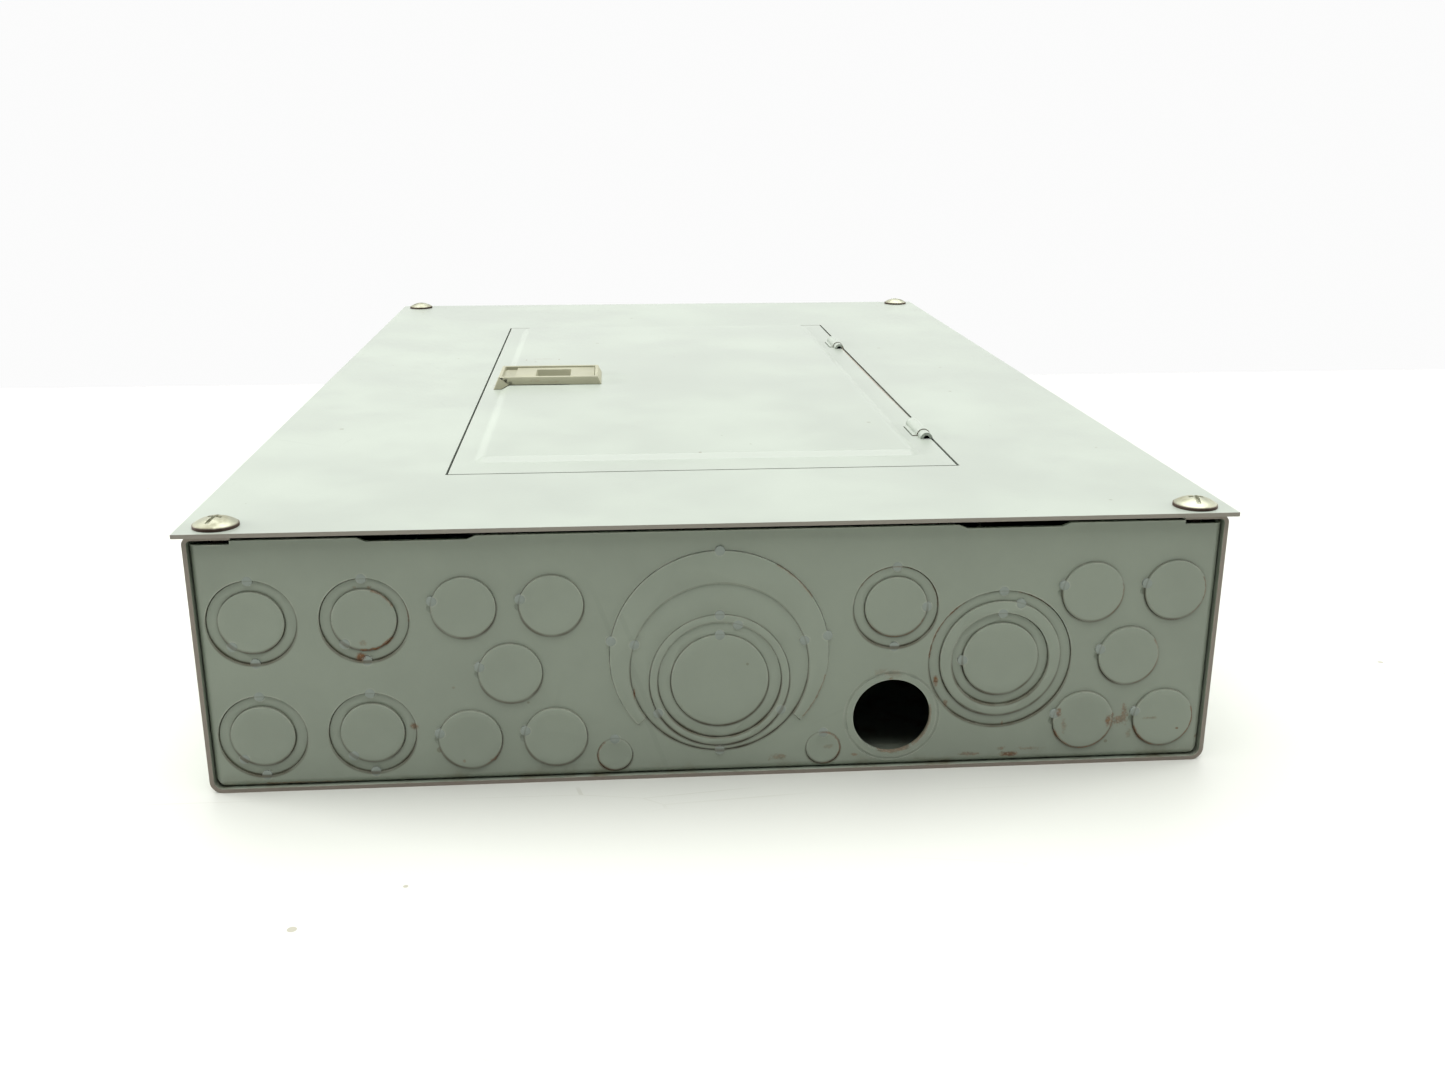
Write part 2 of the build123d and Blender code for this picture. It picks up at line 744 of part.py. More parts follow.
# ================================================================ dead front
# A tray under the door opening, with a flange against the cover and windows for the breakers.
with BuildPart() as dead_front:
    with BuildSketch(opening_plane(dead_front_bottom)):
        Rectangle(2 * tray_half_width, tray_length)
    extrude(amount=cover_bottom - dead_front_bottom)
    with BuildSketch(opening_plane(cover_bottom)):
        Rectangle(2 * (tray_half_width + tray_flange), tray_length + 2 * tray_flange)
    extrude(amount=-dead_front_sheet)
    with BuildSketch(opening_plane(dead_front_top)):
        Rectangle(2 * (tray_half_width - dead_front_sheet), tray_length - 2 * dead_front_sheet)
    extrude(amount=cover_bottom - dead_front_top, mode=Mode.SUBTRACT)
    with BuildSketch(Plane.XY.offset(dead_front_bottom)):
        for side in (-1, 1):
            with Locations((side * handle_x, (rows_start + rows_end) / 2)):
                Rectangle(case_nose_length + 2 * cutout_clearance, rows_span + 2 * cutout_clearance)
        with Locations((0, main_middle)):
            Rectangle(
                2 * (main_nose_half_width + cutout_clearance), main_nose_length + 2 * cutout_clearance
            )
    extrude(amount=dead_front_sheet, mode=Mode.SUBTRACT)
dead_front.part.label = "dead_front"
export_step(dead_front.part, "parts/dead_front.step")

# Plates over the unused spaces, each with two legs that snap inside the window.
with BuildPart() as filler_plates:
    window = case_nose_length + 2 * cutout_clearance
    for row in open_rows:
        for side in (-1, 1):
            with BuildSketch(Plane.XY.offset(dead_front_top)):
                with Locations((side * handle_x, row_centre(row))):
                    Rectangle(window + 2 * filler_lap, pitch - case_gap)
            extrude(amount=filler_thickness)
            with BuildSketch(Plane.XY.offset(dead_front_top)):
                with Locations((side * handle_x, row_centre(row))):
                    with GridLocations(window - 2 * filler_leg_thickness, 0, 2, 1):
                        Rectangle(filler_leg_thickness, pitch / 2)
            extrude(amount=-filler_leg)
filler_plates.part.label = "filler_plates"
export_step(filler_plates.part, "parts/filler_plates.step")

# ================================================================ interior pan and rails
# A hat section on the back sheet. Each rail is a bent strip: foot, web, shelf and upstand.
with BuildPart() as interior_pan:
    with BuildSketch(xz_plane(pan_back)):
        with BuildLine():
            FilletPolyline(
                (-pan_half_width - pan_foot, pan_bottom + pan_sheet),
                (-pan_half_width, pan_bottom + pan_sheet),
                (-pan_half_width, pan_top),
                (pan_half_width, pan_top),
                (pan_half_width, pan_bottom + pan_sheet),
                (pan_half_width + pan_foot, pan_bottom + pan_sheet),
                radius=[pan_bend - pan_sheet, pan_bend, pan_bend, pan_bend - pan_sheet],
            )
            offset(amount=pan_sheet, side=Side.RIGHT)
        make_face()
    extrude(amount=pan_back - pan_front)
    with Locations((0, pan_middle)):
        with GridLocations(2 * pan_screw_x, pan_screw_spacing, 2, 2):
            Cylinder(pan_screw_radius + screw_clearance, 4 * pan_bottom + 2 * pan_sheet, mode=Mode.SUBTRACT)
interior_pan.part.label = "interior_pan"
export_step(interior_pan.part, "parts/interior_pan.step")

with BuildPart() as pan_screws:
    head_seat = pan_bottom + pan_sheet
    with BuildSketch(Plane.XY.offset(head_seat)):
        with Locations((0, pan_middle)):
            with GridLocations(2 * pan_screw_x, pan_screw_spacing, 2, 2):
                Circle(pan_screw_head)
                Rectangle(2 * pan_screw_head, pan_screw_head / 4, mode=Mode.SUBTRACT)
    extrude(amount=pan_screw_head_height)
    with BuildSketch(Plane.XY.offset(head_seat + pan_screw_head_height / 2)):
        with Locations((0, pan_middle)):
            with GridLocations(2 * pan_screw_x, pan_screw_spacing, 2, 2):
                Circle(pan_screw_head)
    extrude(amount=-pan_screw_head_height / 2)
    with BuildSketch(Plane.XY.offset(head_seat)):
        with Locations((0, pan_middle)):
            with GridLocations(2 * pan_screw_x, pan_screw_spacing, 2, 2):
                Circle(pan_screw_radius)
    extrude(amount=-head_seat)
pan_screws.part.label = "pan_screws"
export_step(pan_screws.part, "parts/pan_screws.step")

upstand_x = case_outer + rail_gap + rail_sheet
shelf_x = upstand_x - rail_shelf
for side in ("left", "right"):
    sign = side_sign(side)
    with BuildPart() as rail:
        with BuildSketch(xz_plane(rows_end)):
            with BuildLine():
                FilletPolyline(
                    (sign * (shelf_x - rail_foot), pan_top),
                    (sign * (shelf_x + rail_sheet), pan_top),
                    (sign * (shelf_x + rail_sheet), case_bottom - rail_sheet),
                    (sign * upstand_x, case_bottom - rail_sheet),
                    (sign * upstand_x, case_bottom + rail_upstand),
                    radius=[rail_bend, rail_bend - rail_sheet, rail_bend],
                )
                offset(amount=rail_sheet, side=Side.LEFT if sign > 0 else Side.RIGHT)
            make_face()
        extrude(amount=rows_span)
    rail.part.label = f"mounting_rail_{side}"
    export_step(rail.part, f"parts/mounting_rail_{side}.step")

# ================================================================ bus
# The base carries both straps, with a rib between them. Each space has one stab, which its breaker's
# jaw straddles.
bus_start = rows_start + stab_thickness
bus_end = main_start + bus_run_past
base_top = pan_top + base_thickness
strap_top = base_top + bus_thickness
with BuildPart() as bus_base:
    with BuildSketch(Plane.XY.offset(pan_top)):
        with Locations((0, (rows_start + bus_end) / 2)):
            Rectangle(2 * base_half_width, bus_end - rows_start)
    extrude(amount=base_thickness)
    with BuildSketch(Plane.XY.offset(base_top)):
        with Locations((0, (rows_start + bus_end) / 2)):
            Rectangle(2 * base_rib, bus_end - rows_start)
    extrude(amount=base_rib_height)
bus_base.part.label = "bus_base"
export_step(bus_base.part, "parts/bus_base.step")

bus_x = bus_inner + bus_width / 2
for side in ("left", "right"):
    sign = side_sign(side)
    with BuildPart() as bus_bar:
        with BuildSketch(Plane.XY.offset(base_top)):
            with Locations((sign * bus_x, (bus_start + bus_end) / 2)):
                Rectangle(bus_width, bus_end - bus_start)
        extrude(amount=bus_thickness)
        with BuildSketch(Plane.XY.offset(strap_top)):
            with Locations([(sign * bus_x, row_centre(row)) for row in range(row_count)]):
                Rectangle(stab_width, stab_thickness)
        extrude(amount=stab_height)
    bus_bar.part.label = f"bus_bar_{side}"
    export_step(bus_bar.part, f"parts/bus_bar_{side}.step")

with BuildPart() as bus_screws:
    with BuildSketch(Plane.XY.offset(strap_top)):
        for row in (1, row_count - 1):
            with Locations([(sign * bus_x, rows_start + row * pitch) for sign in (-1, 1)]):
                Circle(bus_screw_radius)
    extrude(amount=bus_screw_height)
    with BuildSketch(Plane.XY.offset(strap_top + bus_screw_height)):
        for row in (1, row_count - 1):
            with Locations([(sign * bus_x, rows_start + row * pitch) for sign in (-1, 1)]):
                Rectangle(3 * bus_screw_radius, bus_screw_radius / 4)
    extrude(amount=-bus_screw_height / 2, mode=Mode.SUBTRACT)
bus_screws.part.label = "bus_screws"
export_step(bus_screws.part, "parts/bus_screws.step")


# ================================================================ breakers
def breaker_case(side, rows, label):
    """A branch breaker's case over its rows: body, raised nose, handle slots, jaws and wire holes."""
    sign = side_sign(side)
    middle = sum(row_centre(row) for row in rows) / len(rows)
    width = len(rows) * pitch - case_gap
    with BuildPart() as case:
        with BuildSketch(xz_plane(middle + width / 2)):
            with BuildLine():
                Polyline(
                    (sign * case_inner, case_bottom),
                    (sign * case_outer, case_bottom),
                    (sign * case_outer, case_top - case_terminal_drop),
                    (sign * (case_outer - case_terminal_length), case_top - case_terminal_drop),
                    (sign * (case_outer - case_terminal_length - case_slope), case_top),
                    (sign * nose_end, case_top),
                    (sign * nose_end, nose_top),
                    (sign * nose_start, nose_top),
                    (sign * nose_start, case_top),
                    (sign * case_inner, case_top - case_inner_drop),
                    close=True,
                )
            make_face()
        extrude(amount=width)
        fillet(case.faces().sort_by(Axis.Z)[-1].edges(), case_round)
        for row in rows:
            y = row_centre(row)
            slot_width = handle_drum_width + 2 * handle_gap
            with BuildSketch(xz_plane(y + slot_width / 2)):
                with Locations((sign * handle_x, pivot_z)):
                    Circle(handle_drum + handle_gap)
                    Rectangle(2 * handle_slot, 3 * nose_height, align=(Align.CENTER, Align.MIN))
            extrude(amount=slot_width, mode=Mode.SUBTRACT)
            with BuildSketch(Plane.XY.offset(case_bottom)):
                with Locations((sign * bus_x, y)):
                    Rectangle(stab_width + 2 * jaw_clearance, stab_thickness + 2 * jaw_clearance)
            extrude(amount=stab_height + jaw_clearance, mode=Mode.SUBTRACT)
            with BuildSketch(yz_plane(sign * case_outer)):
                with Locations((y, case_bottom + wire_hole_height)):
                    Circle(wire_hole_radius)
            extrude(amount=-sign * wire_hole_depth, mode=Mode.SUBTRACT)
    case.part.label = label
    export_step(case.part, f"parts/{label}.step")


def breaker_handle(side, rows, label):
    """The handle of a branch breaker, one paddle a pole, leaning to its on side."""
    sign = side_sign(side)
    with BuildPart() as handle:
        for row in rows:
            y = row_centre(row)
            with BuildSketch(xz_plane(y + handle_drum_width / 2)):
                with Locations((sign * handle_x, pivot_z)):
                    Circle(handle_drum)
            extrude(amount=handle_drum_width)
            with BuildSketch(tilted_plane(sign * handle_x, y + handle_width / 2, sign * handle_tilt)):
                with BuildLine():
                    Polyline(
                        (-handle_root / 2, 0),
                        (handle_root / 2, 0),
                        (handle_tip / 2, handle_reach),
                        (-handle_tip / 2, handle_reach),
                        close=True,
                    )
                make_face()
            extrude(amount=handle_width)
        if len(rows) > 1:
            ys = [row_centre(row) for row in rows]
            with BuildSketch(tilted_plane(sign * handle_x, max(ys), sign * handle_tilt)):
                with Locations((0, handle_reach)):
                    Rectangle(handle_tip, tie_bar_height, align=(Align.CENTER, Align.MAX))
            extrude(amount=max(ys) - min(ys))
    handle.part.label = label
    export_step(handle.part, f"parts/{label}.step")


for number, (side, row) in enumerate(branch_spaces, start=1):
    breaker_case(side, [row], f"branch_breaker_{number}_case")
    breaker_handle(side, [row], f"branch_breaker_{number}_handle")
breaker_case("right", double_rows, "double_breaker_case")
breaker_handle("right", double_rows, "double_breaker_handle")

# The main breaker lies along the box, with its line lugs at its upper end.
with BuildPart() as main_breaker_case:
    with BuildSketch(Plane.XY.offset(case_bottom)):
        with Locations((0, main_start)):
            Rectangle(2 * main_half_width, main_length, align=(Align.CENTER, Align.MIN))
    extrude(amount=case_height)
    fillet(main_breaker_case.edges().filter_by(Axis.Z), main_round)
    with BuildSketch(Plane.XY.offset(case_top)):
        with Locations((0, main_middle)):
            Rectangle(2 * main_nose_half_width, main_nose_length)
    extrude(amount=nose_height)
    fillet(main_breaker_case.faces().sort_by(Axis.Z)[-1].edges(), case_round)
    with BuildSketch(yz_plane(-main_handle_width / 2 - handle_gap)):
        with Locations((main_middle, pivot_z)):
            Circle(handle_drum + handle_gap)
            Rectangle(2 * handle_slot, 3 * nose_height, align=(Align.CENTER, Align.MIN))
    extrude(amount=main_handle_width + 2 * handle_gap, mode=Mode.SUBTRACT)
main_breaker_case.part.label = "main_breaker_case"
export_step(main_breaker_case.part, "parts/main_breaker_case.step")

with BuildPart() as main_breaker_handle:
    lean = math.radians(main_handle_tilt)
    paddle_plane = Plane(
        (-main_handle_width / 2 + handle_gap, main_middle, pivot_z),
        x_dir=(0, math.cos(lean), -math.sin(lean)),
        z_dir=(1, 0, 0),
    )
    with BuildSketch(yz_plane(-main_handle_width / 2)):
        with Locations((main_middle, pivot_z)):
            Circle(handle_drum)
    extrude(amount=main_handle_width)
    with BuildSketch(paddle_plane):
        with BuildLine():
            Polyline(
                (-handle_root / 2, 0),
                (handle_root / 2, 0),
                (handle_tip / 2, handle_reach),
                (-handle_tip / 2, handle_reach),
                close=True,
            )
        make_face()
    extrude(amount=main_handle_width - 2 * handle_gap)
main_breaker_handle.part.label = "main_breaker_handle"
export_step(main_breaker_handle.part, "parts/main_breaker_handle.step")

lug_bottom = case_bottom + lug_seat
lug_top = lug_bottom + lug_height
lug_places = [(sign * lug_spacing / 2, main_end) for sign in (-1, 1)]
with BuildPart() as main_lugs:
    with BuildSketch(Plane.XY.offset(lug_bottom)):
        with Locations(lug_places):
            Rectangle(lug_width, lug_length, align=(Align.CENTER, Align.MIN))
    extrude(amount=lug_height)
    with BuildSketch(xz_plane(main_end + lug_length)):
        with Locations([(x, lug_bottom + lug_bore + wall_sheet) for x, y in lug_places]):
            Circle(lug_bore)
    extrude(amount=lug_length - wall_sheet, mode=Mode.SUBTRACT)
    with BuildSketch(Plane.XY.offset(lug_top)):
        with Locations([(x, y + lug_length / 2) for x, y in lug_places]):
            Circle(lug_screw_radius + screw_clearance)
    extrude(amount=-lug_height / 2, mode=Mode.SUBTRACT)
main_lugs.part.label = "main_lugs"
export_step(main_lugs.part, "parts/main_lugs.step")

with BuildPart() as main_lug_screws:
    with BuildSketch(Plane.XY.offset(lug_top)):
        with Locations([(x, y + lug_length / 2) for x, y in lug_places]):
            Circle(lug_screw_radius)
    extrude(amount=-lug_screw_length)
    with BuildSketch(Plane.XY.offset(lug_top)):
        with Locations([(x, y + lug_length / 2) for x, y in lug_places]):
            RegularPolygon(lug_hex, 6)
    extrude(amount=-lug_screw_length / 2, mode=Mode.SUBTRACT)
main_lug_screws.part.label = "main_lug_screws"
export_step(main_lug_screws.part, "parts/main_lug_screws.step")

terminal_seat = case_top - case_terminal_drop
terminal_x = case_outer - terminal_screw_inset
fitted_rows = branch_spaces + [("right", row) for row in double_rows]
terminals = [(side_sign(side) * terminal_x, row_centre(row)) for side, row in fitted_rows]
with BuildPart() as branch_terminal_screws:
    with BuildSketch(Plane.XY.offset(terminal_seat)):
        with Locations(terminals):
            Circle(terminal_screw_radius)
    extrude(amount=terminal_screw_height)
    with BuildSketch(Plane.XY.offset(terminal_seat + terminal_screw_height)):
        with Locations(terminals):
            Rectangle(3 * terminal_screw_radius, terminal_screw_radius / 4)
    extrude(amount=-terminal_screw_height / 2, mode=Mode.SUBTRACT)
branch_terminal_screws.part.label = "branch_terminal_screws"
export_step(branch_terminal_screws.part, "parts/branch_terminal_screws.step")

# ================================================================ neutral
# A bar each side on insulating blocks, joined by a crossover strap below them. The left bar also holds
# the neutral lug and the bonding screw.
bar_front = crossover_back - crossover_width
bar_back = crossover_back + neutral_screw_count * bar_screw_pitch + lug_length
neutral_screw_ys = [crossover_back + (step + 0.5) * bar_screw_pitch for step in range(neutral_screw_count)]
neutral_length = bar_back - bar_front
lug_y = bar_back - lug_length / 2
insulator_ys = (rows_start + pitch, rows_end)
for side in ("left", "right"):
    x = side_sign(side) * neutral_x
    with BuildPart() as neutral_bar:
        with BuildSketch(Plane.XY.offset(neutral_bottom)):
            with Locations((x, bar_front)):
                Rectangle(bar_width, neutral_length, align=(Align.CENTER, Align.MIN))
        extrude(amount=bar_height)
        with BuildSketch(yz_plane(x - bar_width / 2)):
            with Locations([(y, neutral_bottom + bar_hole_height) for y in neutral_screw_ys]):
                Circle(bar_hole_radius)
        extrude(amount=bar_width, mode=Mode.SUBTRACT)
        with BuildSketch(Plane.XY.offset(neutral_top)):
            with Locations([(x, y) for y in neutral_screw_ys]):
                Circle(bar_screw_radius + screw_clearance)
        extrude(amount=bar_hole_height - bar_height, mode=Mode.SUBTRACT)
        if side == "left":
            with Locations((x, crossover_middle, neutral_bottom)):
                Cylinder(bonding_shank + screw_clearance, 3 * bar_height, mode=Mode.SUBTRACT)
    neutral_bar.part.label = f"neutral_bar_{side}"
    export_step(neutral_bar.part, f"parts/neutral_bar_{side}.step")

    with BuildPart() as neutral_screws:
        with BuildSketch(Plane.XY.offset(neutral_top + bar_screw_stand)):
            with Locations([(x, y) for y in neutral_screw_ys]):
                Circle(bar_screw_radius)
        extrude(amount=bar_hole_height + bar_hole_radius - bar_height - bar_screw_stand)
        with BuildSketch(Plane.XY.offset(neutral_top + bar_screw_stand)):
            with Locations([(x, y) for y in neutral_screw_ys]):
                Rectangle(3 * bar_screw_radius, bar_slot)
        extrude(amount=-bar_screw_stand, mode=Mode.SUBTRACT)
    neutral_screws.part.label = f"neutral_screws_{side}"
    export_step(neutral_screws.part, f"parts/neutral_screws_{side}.step")

with BuildPart() as neutral_crossover:
    with BuildSketch(Plane.XY.offset(neutral_bottom - crossover_thickness)):
        with Locations((0, crossover_middle)):
            Rectangle(2 * neutral_x + bar_width, crossover_width)
        with Locations((-neutral_x, crossover_middle)):
            Circle(bonding_shank + screw_clearance, mode=Mode.SUBTRACT)
    extrude(amount=crossover_thickness)
neutral_crossover.part.label = "neutral_crossover"
export_step(neutral_crossover.part, "parts/neutral_crossover.step")

with BuildPart() as neutral_insulators:
    with BuildSketch(Plane.XY.offset(wrap_sheet)):
        with Locations([(sign * neutral_x, y) for sign in (-1, 1) for y in insulator_ys]):
            Rectangle(insulator_size, insulator_size)
    extrude(amount=neutral_stand)
neutral_insulators.part.label = "neutral_insulators"
export_step(neutral_insulators.part, "parts/neutral_insulators.step")

with BuildPart() as neutral_lug:
    with BuildSketch(Plane.XY.offset(neutral_top)):
        with Locations((-neutral_x, lug_y)):
            Rectangle(lug_width, lug_length)
    extrude(amount=lug_height)
    with BuildSketch(xz_plane(lug_y + lug_length / 2)):
        with Locations((-neutral_x, neutral_top + lug_bore + wall_sheet)):
            Circle(lug_bore)
    extrude(amount=lug_length, mode=Mode.SUBTRACT)
    with BuildSketch(Plane.XY.offset(neutral_top + lug_height)):
        with Locations((-neutral_x, lug_y)):
            Circle(lug_screw_radius + screw_clearance)
    extrude(amount=-lug_height / 2, mode=Mode.SUBTRACT)
neutral_lug.part.label = "neutral_lug"
export_step(neutral_lug.part, "parts/neutral_lug.step")

with BuildPart() as neutral_lug_screw:
    with BuildSketch(Plane.XY.offset(neutral_top + lug_height)):
        with Locations((-neutral_x, lug_y)):
            Circle(lug_screw_radius)
    extrude(amount=-lug_screw_length)
    with BuildSketch(Plane.XY.offset(neutral_top + lug_height)):
        with Locations((-neutral_x, lug_y)):
            RegularPolygon(lug_hex, 6)
    extrude(amount=-lug_screw_length / 2, mode=Mode.SUBTRACT)
neutral_lug_screw.part.label = "neutral_lug_screw"
export_step(neutral_lug_screw.part, "parts/neutral_lug_screw.step")

with BuildPart() as bonding_screw:
    with BuildSketch(Plane.XY.offset(neutral_top)):
        with Locations((-neutral_x, crossover_middle)):
            Circle(bonding_head)
    extrude(amount=bonding_head_height)
    with BuildSketch(Plane.XY.offset(neutral_top + bonding_head_height)):
        with Locations((-neutral_x, crossover_middle)):
            Rectangle(3 * bonding_head, bar_slot)
    extrude(amount=-bonding_head_height / 2, mode=Mode.SUBTRACT)
    with BuildSketch():
        with Locations((-neutral_x, crossover_middle)):
            Circle(bonding_shank)
    extrude(amount=neutral_top)
bonding_screw.part.label = "bonding_screw"
export_step(bonding_screw.part, "parts/bonding_screw.step")

# ================================================================ ground
ground_y = -half_length + ground_bar_inset
ground_span = ground_screw_count * bar_screw_pitch
ground_top = wrap_sheet + bar_height
ground_start = ground_bar_x - ground_span / 2
ground_xs = [ground_start + (step + 0.5) * bar_screw_pitch for step in range(ground_screw_count)]
with BuildPart() as ground_bar:
    with BuildSketch(Plane.XY.offset(wrap_sheet)):
        with Locations((ground_bar_x, ground_y)):
            Rectangle(ground_span, bar_width)
    extrude(amount=bar_height)
    with BuildSketch(xz_plane(ground_y + bar_width / 2)):
        with Locations([(x, wrap_sheet + bar_hole_height) for x in ground_xs]):
            Circle(bar_hole_radius)
    extrude(amount=bar_width, mode=Mode.SUBTRACT)
    with BuildSketch(Plane.XY.offset(ground_top)):
        with Locations([(x, ground_y) for x in ground_xs]):
            Circle(bar_screw_radius + screw_clearance)
    extrude(amount=bar_hole_height - bar_height, mode=Mode.SUBTRACT)
ground_bar.part.label = "ground_bar"
export_step(ground_bar.part, "parts/ground_bar.step")

with BuildPart() as ground_bar_screws:
    with BuildSketch(Plane.XY.offset(ground_top + bar_screw_stand)):
        with Locations([(x, ground_y) for x in ground_xs]):
            Circle(bar_screw_radius)
    extrude(amount=bar_hole_height + bar_hole_radius - bar_height - bar_screw_stand)
    with BuildSketch(Plane.XY.offset(ground_top + bar_screw_stand)):
        with Locations([(x, ground_y) for x in ground_xs]):
            Rectangle(bar_slot, 3 * bar_screw_radius)
    extrude(amount=-bar_screw_stand, mode=Mode.SUBTRACT)
ground_bar_screws.part.label = "ground_bar_screws"
export_step(ground_bar_screws.part, "parts/ground_bar_screws.step")
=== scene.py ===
import json
import math

import bmesh
import bpy
from bpy.props import FloatProperty, FloatVectorProperty, IntProperty, PointerProperty
from mathutils import Matrix, Vector


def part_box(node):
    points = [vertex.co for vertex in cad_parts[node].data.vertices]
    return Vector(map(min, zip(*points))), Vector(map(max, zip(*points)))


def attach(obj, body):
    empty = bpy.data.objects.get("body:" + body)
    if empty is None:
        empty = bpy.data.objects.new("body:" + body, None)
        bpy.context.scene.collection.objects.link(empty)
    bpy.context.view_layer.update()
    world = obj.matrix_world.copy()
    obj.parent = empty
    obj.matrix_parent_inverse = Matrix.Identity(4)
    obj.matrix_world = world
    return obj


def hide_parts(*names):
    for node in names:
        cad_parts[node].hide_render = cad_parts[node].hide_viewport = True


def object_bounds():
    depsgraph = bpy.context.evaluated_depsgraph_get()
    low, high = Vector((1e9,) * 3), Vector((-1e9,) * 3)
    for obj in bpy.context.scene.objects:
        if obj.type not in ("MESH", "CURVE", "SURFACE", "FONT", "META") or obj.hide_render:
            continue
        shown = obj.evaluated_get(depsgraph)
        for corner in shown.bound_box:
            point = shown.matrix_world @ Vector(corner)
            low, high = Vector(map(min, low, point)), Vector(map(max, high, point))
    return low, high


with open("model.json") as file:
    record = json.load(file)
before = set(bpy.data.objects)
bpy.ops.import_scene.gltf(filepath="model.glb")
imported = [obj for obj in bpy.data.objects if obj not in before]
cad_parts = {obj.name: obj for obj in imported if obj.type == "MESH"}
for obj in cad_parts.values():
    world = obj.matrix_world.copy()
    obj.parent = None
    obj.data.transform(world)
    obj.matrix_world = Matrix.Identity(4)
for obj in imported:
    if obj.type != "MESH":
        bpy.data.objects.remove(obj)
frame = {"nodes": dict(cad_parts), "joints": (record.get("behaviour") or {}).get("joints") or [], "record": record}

bl_info = {
    "name": "Load Center",
    "version": (1, 0, 0),
    "blender": (4, 5, 0),
    "location": "3D View > Sidebar > Load Center",
    "description": "Finishes a residential load center: painted box, door, latch, screws and breakers",
    "category": "Object",
}

MM = 0.001
CAD_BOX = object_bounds()
JOINTS = {joint["name"]: joint for joint in frame["joints"]}


# ================================================================ settings
def length(name, description, millimetres, **limits):
    """A length property, given in millimetres and kept in metres."""
    return FloatProperty(
        name=name, description=description, default=millimetres * MM, unit="LENGTH", precision=5, **limits
    )


def lengths(name, description, *millimetres):
    """Several lengths that belong together, given in millimetres and kept in metres."""
    values = [value * MM for value in millimetres]
    return FloatVectorProperty(
        name=name, description=description, default=values, size=len(values), unit="LENGTH"
    )


def colour(name, description, red, green, blue):
    """A colour property in linear red, green and blue."""
    return FloatVectorProperty(
        name=name, description=description, default=(red, green, blue), subtype="COLOR", min=0, max=1
    )


def amount(name, description, value):
    """A plain number from 0 to 1."""
    return FloatProperty(name=name, description=description, default=value, min=0, max=1)


class PaintSettings(bpy.types.PropertyGroup):
    """The enamel on the sheet metal, and what has settled on it."""

    # The box enamel is the cover's paint made darker, as painted shade, for the end walls that stand in shade
    # under the cover.
    box: colour("Box enamel", "Colour of the box and its end walls", 0.22, 0.253, 0.20)
    cover: colour("Cover enamel", "Colour of the cover, the door and the dead front", 0.31, 0.345, 0.295)
    rubbed: colour("Rubbed edge", "Colour of enamel rubbed thin along an edge", 0.50, 0.50, 0.42)
    cut: colour("Cut edge", "Colour of the sheared ends of the sheet", 0.20, 0.165, 0.135)
    rust: colour("Rust", "Colour of rust", 0.175, 0.078, 0.028)
    # Grime is the colour of dirt; made darker, it is also the painted shadow under the knockout discs.
    grime: colour("Grime", "Colour of the dirt in corners", 0.12, 0.105, 0.06)
    tie: colour("Joined spots", "Colour of the spots that still join a knockout", 0.20, 0.235, 0.225)
    peel: length("Orange peel", "Height of the enamel's fine waves", 0.03)
    gloss: amount("Roughness", "Roughness of clean enamel", 0.36)


class PlasticSettings(bpy.types.PropertyGroup):
    """The moulded parts."""

    putty: colour("Putty", "Colour of the latch", 0.295, 0.295, 0.20)
    black: colour("Black", "Colour of the breakers", 0.022, 0.022, 0.024)
    insulator: colour("Insulator", "Colour of the bus base and standoffs", 0.20, 0.035, 0.025)
    card: colour("Card", "Colour of the directory card", 0.50, 0.485, 0.42)
    ink: colour("Ink", "Colour of the card's ruled lines", 0.10, 0.12, 0.16)


class MetalSettings(bpy.types.PropertyGroup):
    """The bare and plated metals."""

    zinc: colour("Plated screw", "Yellowish zinc on the screws", 0.36, 0.37, 0.28)
    galvanised: colour("Galvanised", "Zinc on the pan and rails", 0.56, 0.57, 0.57)
    tin: colour("Tin", "Tin on the bus bars", 0.70, 0.70, 0.68)
    aluminium: colour("Aluminium", "Extruded bars and lugs", 0.72, 0.73, 0.74)
    green: colour("Green screw", "Dye on the bonding screw", 0.03, 0.22, 0.07)


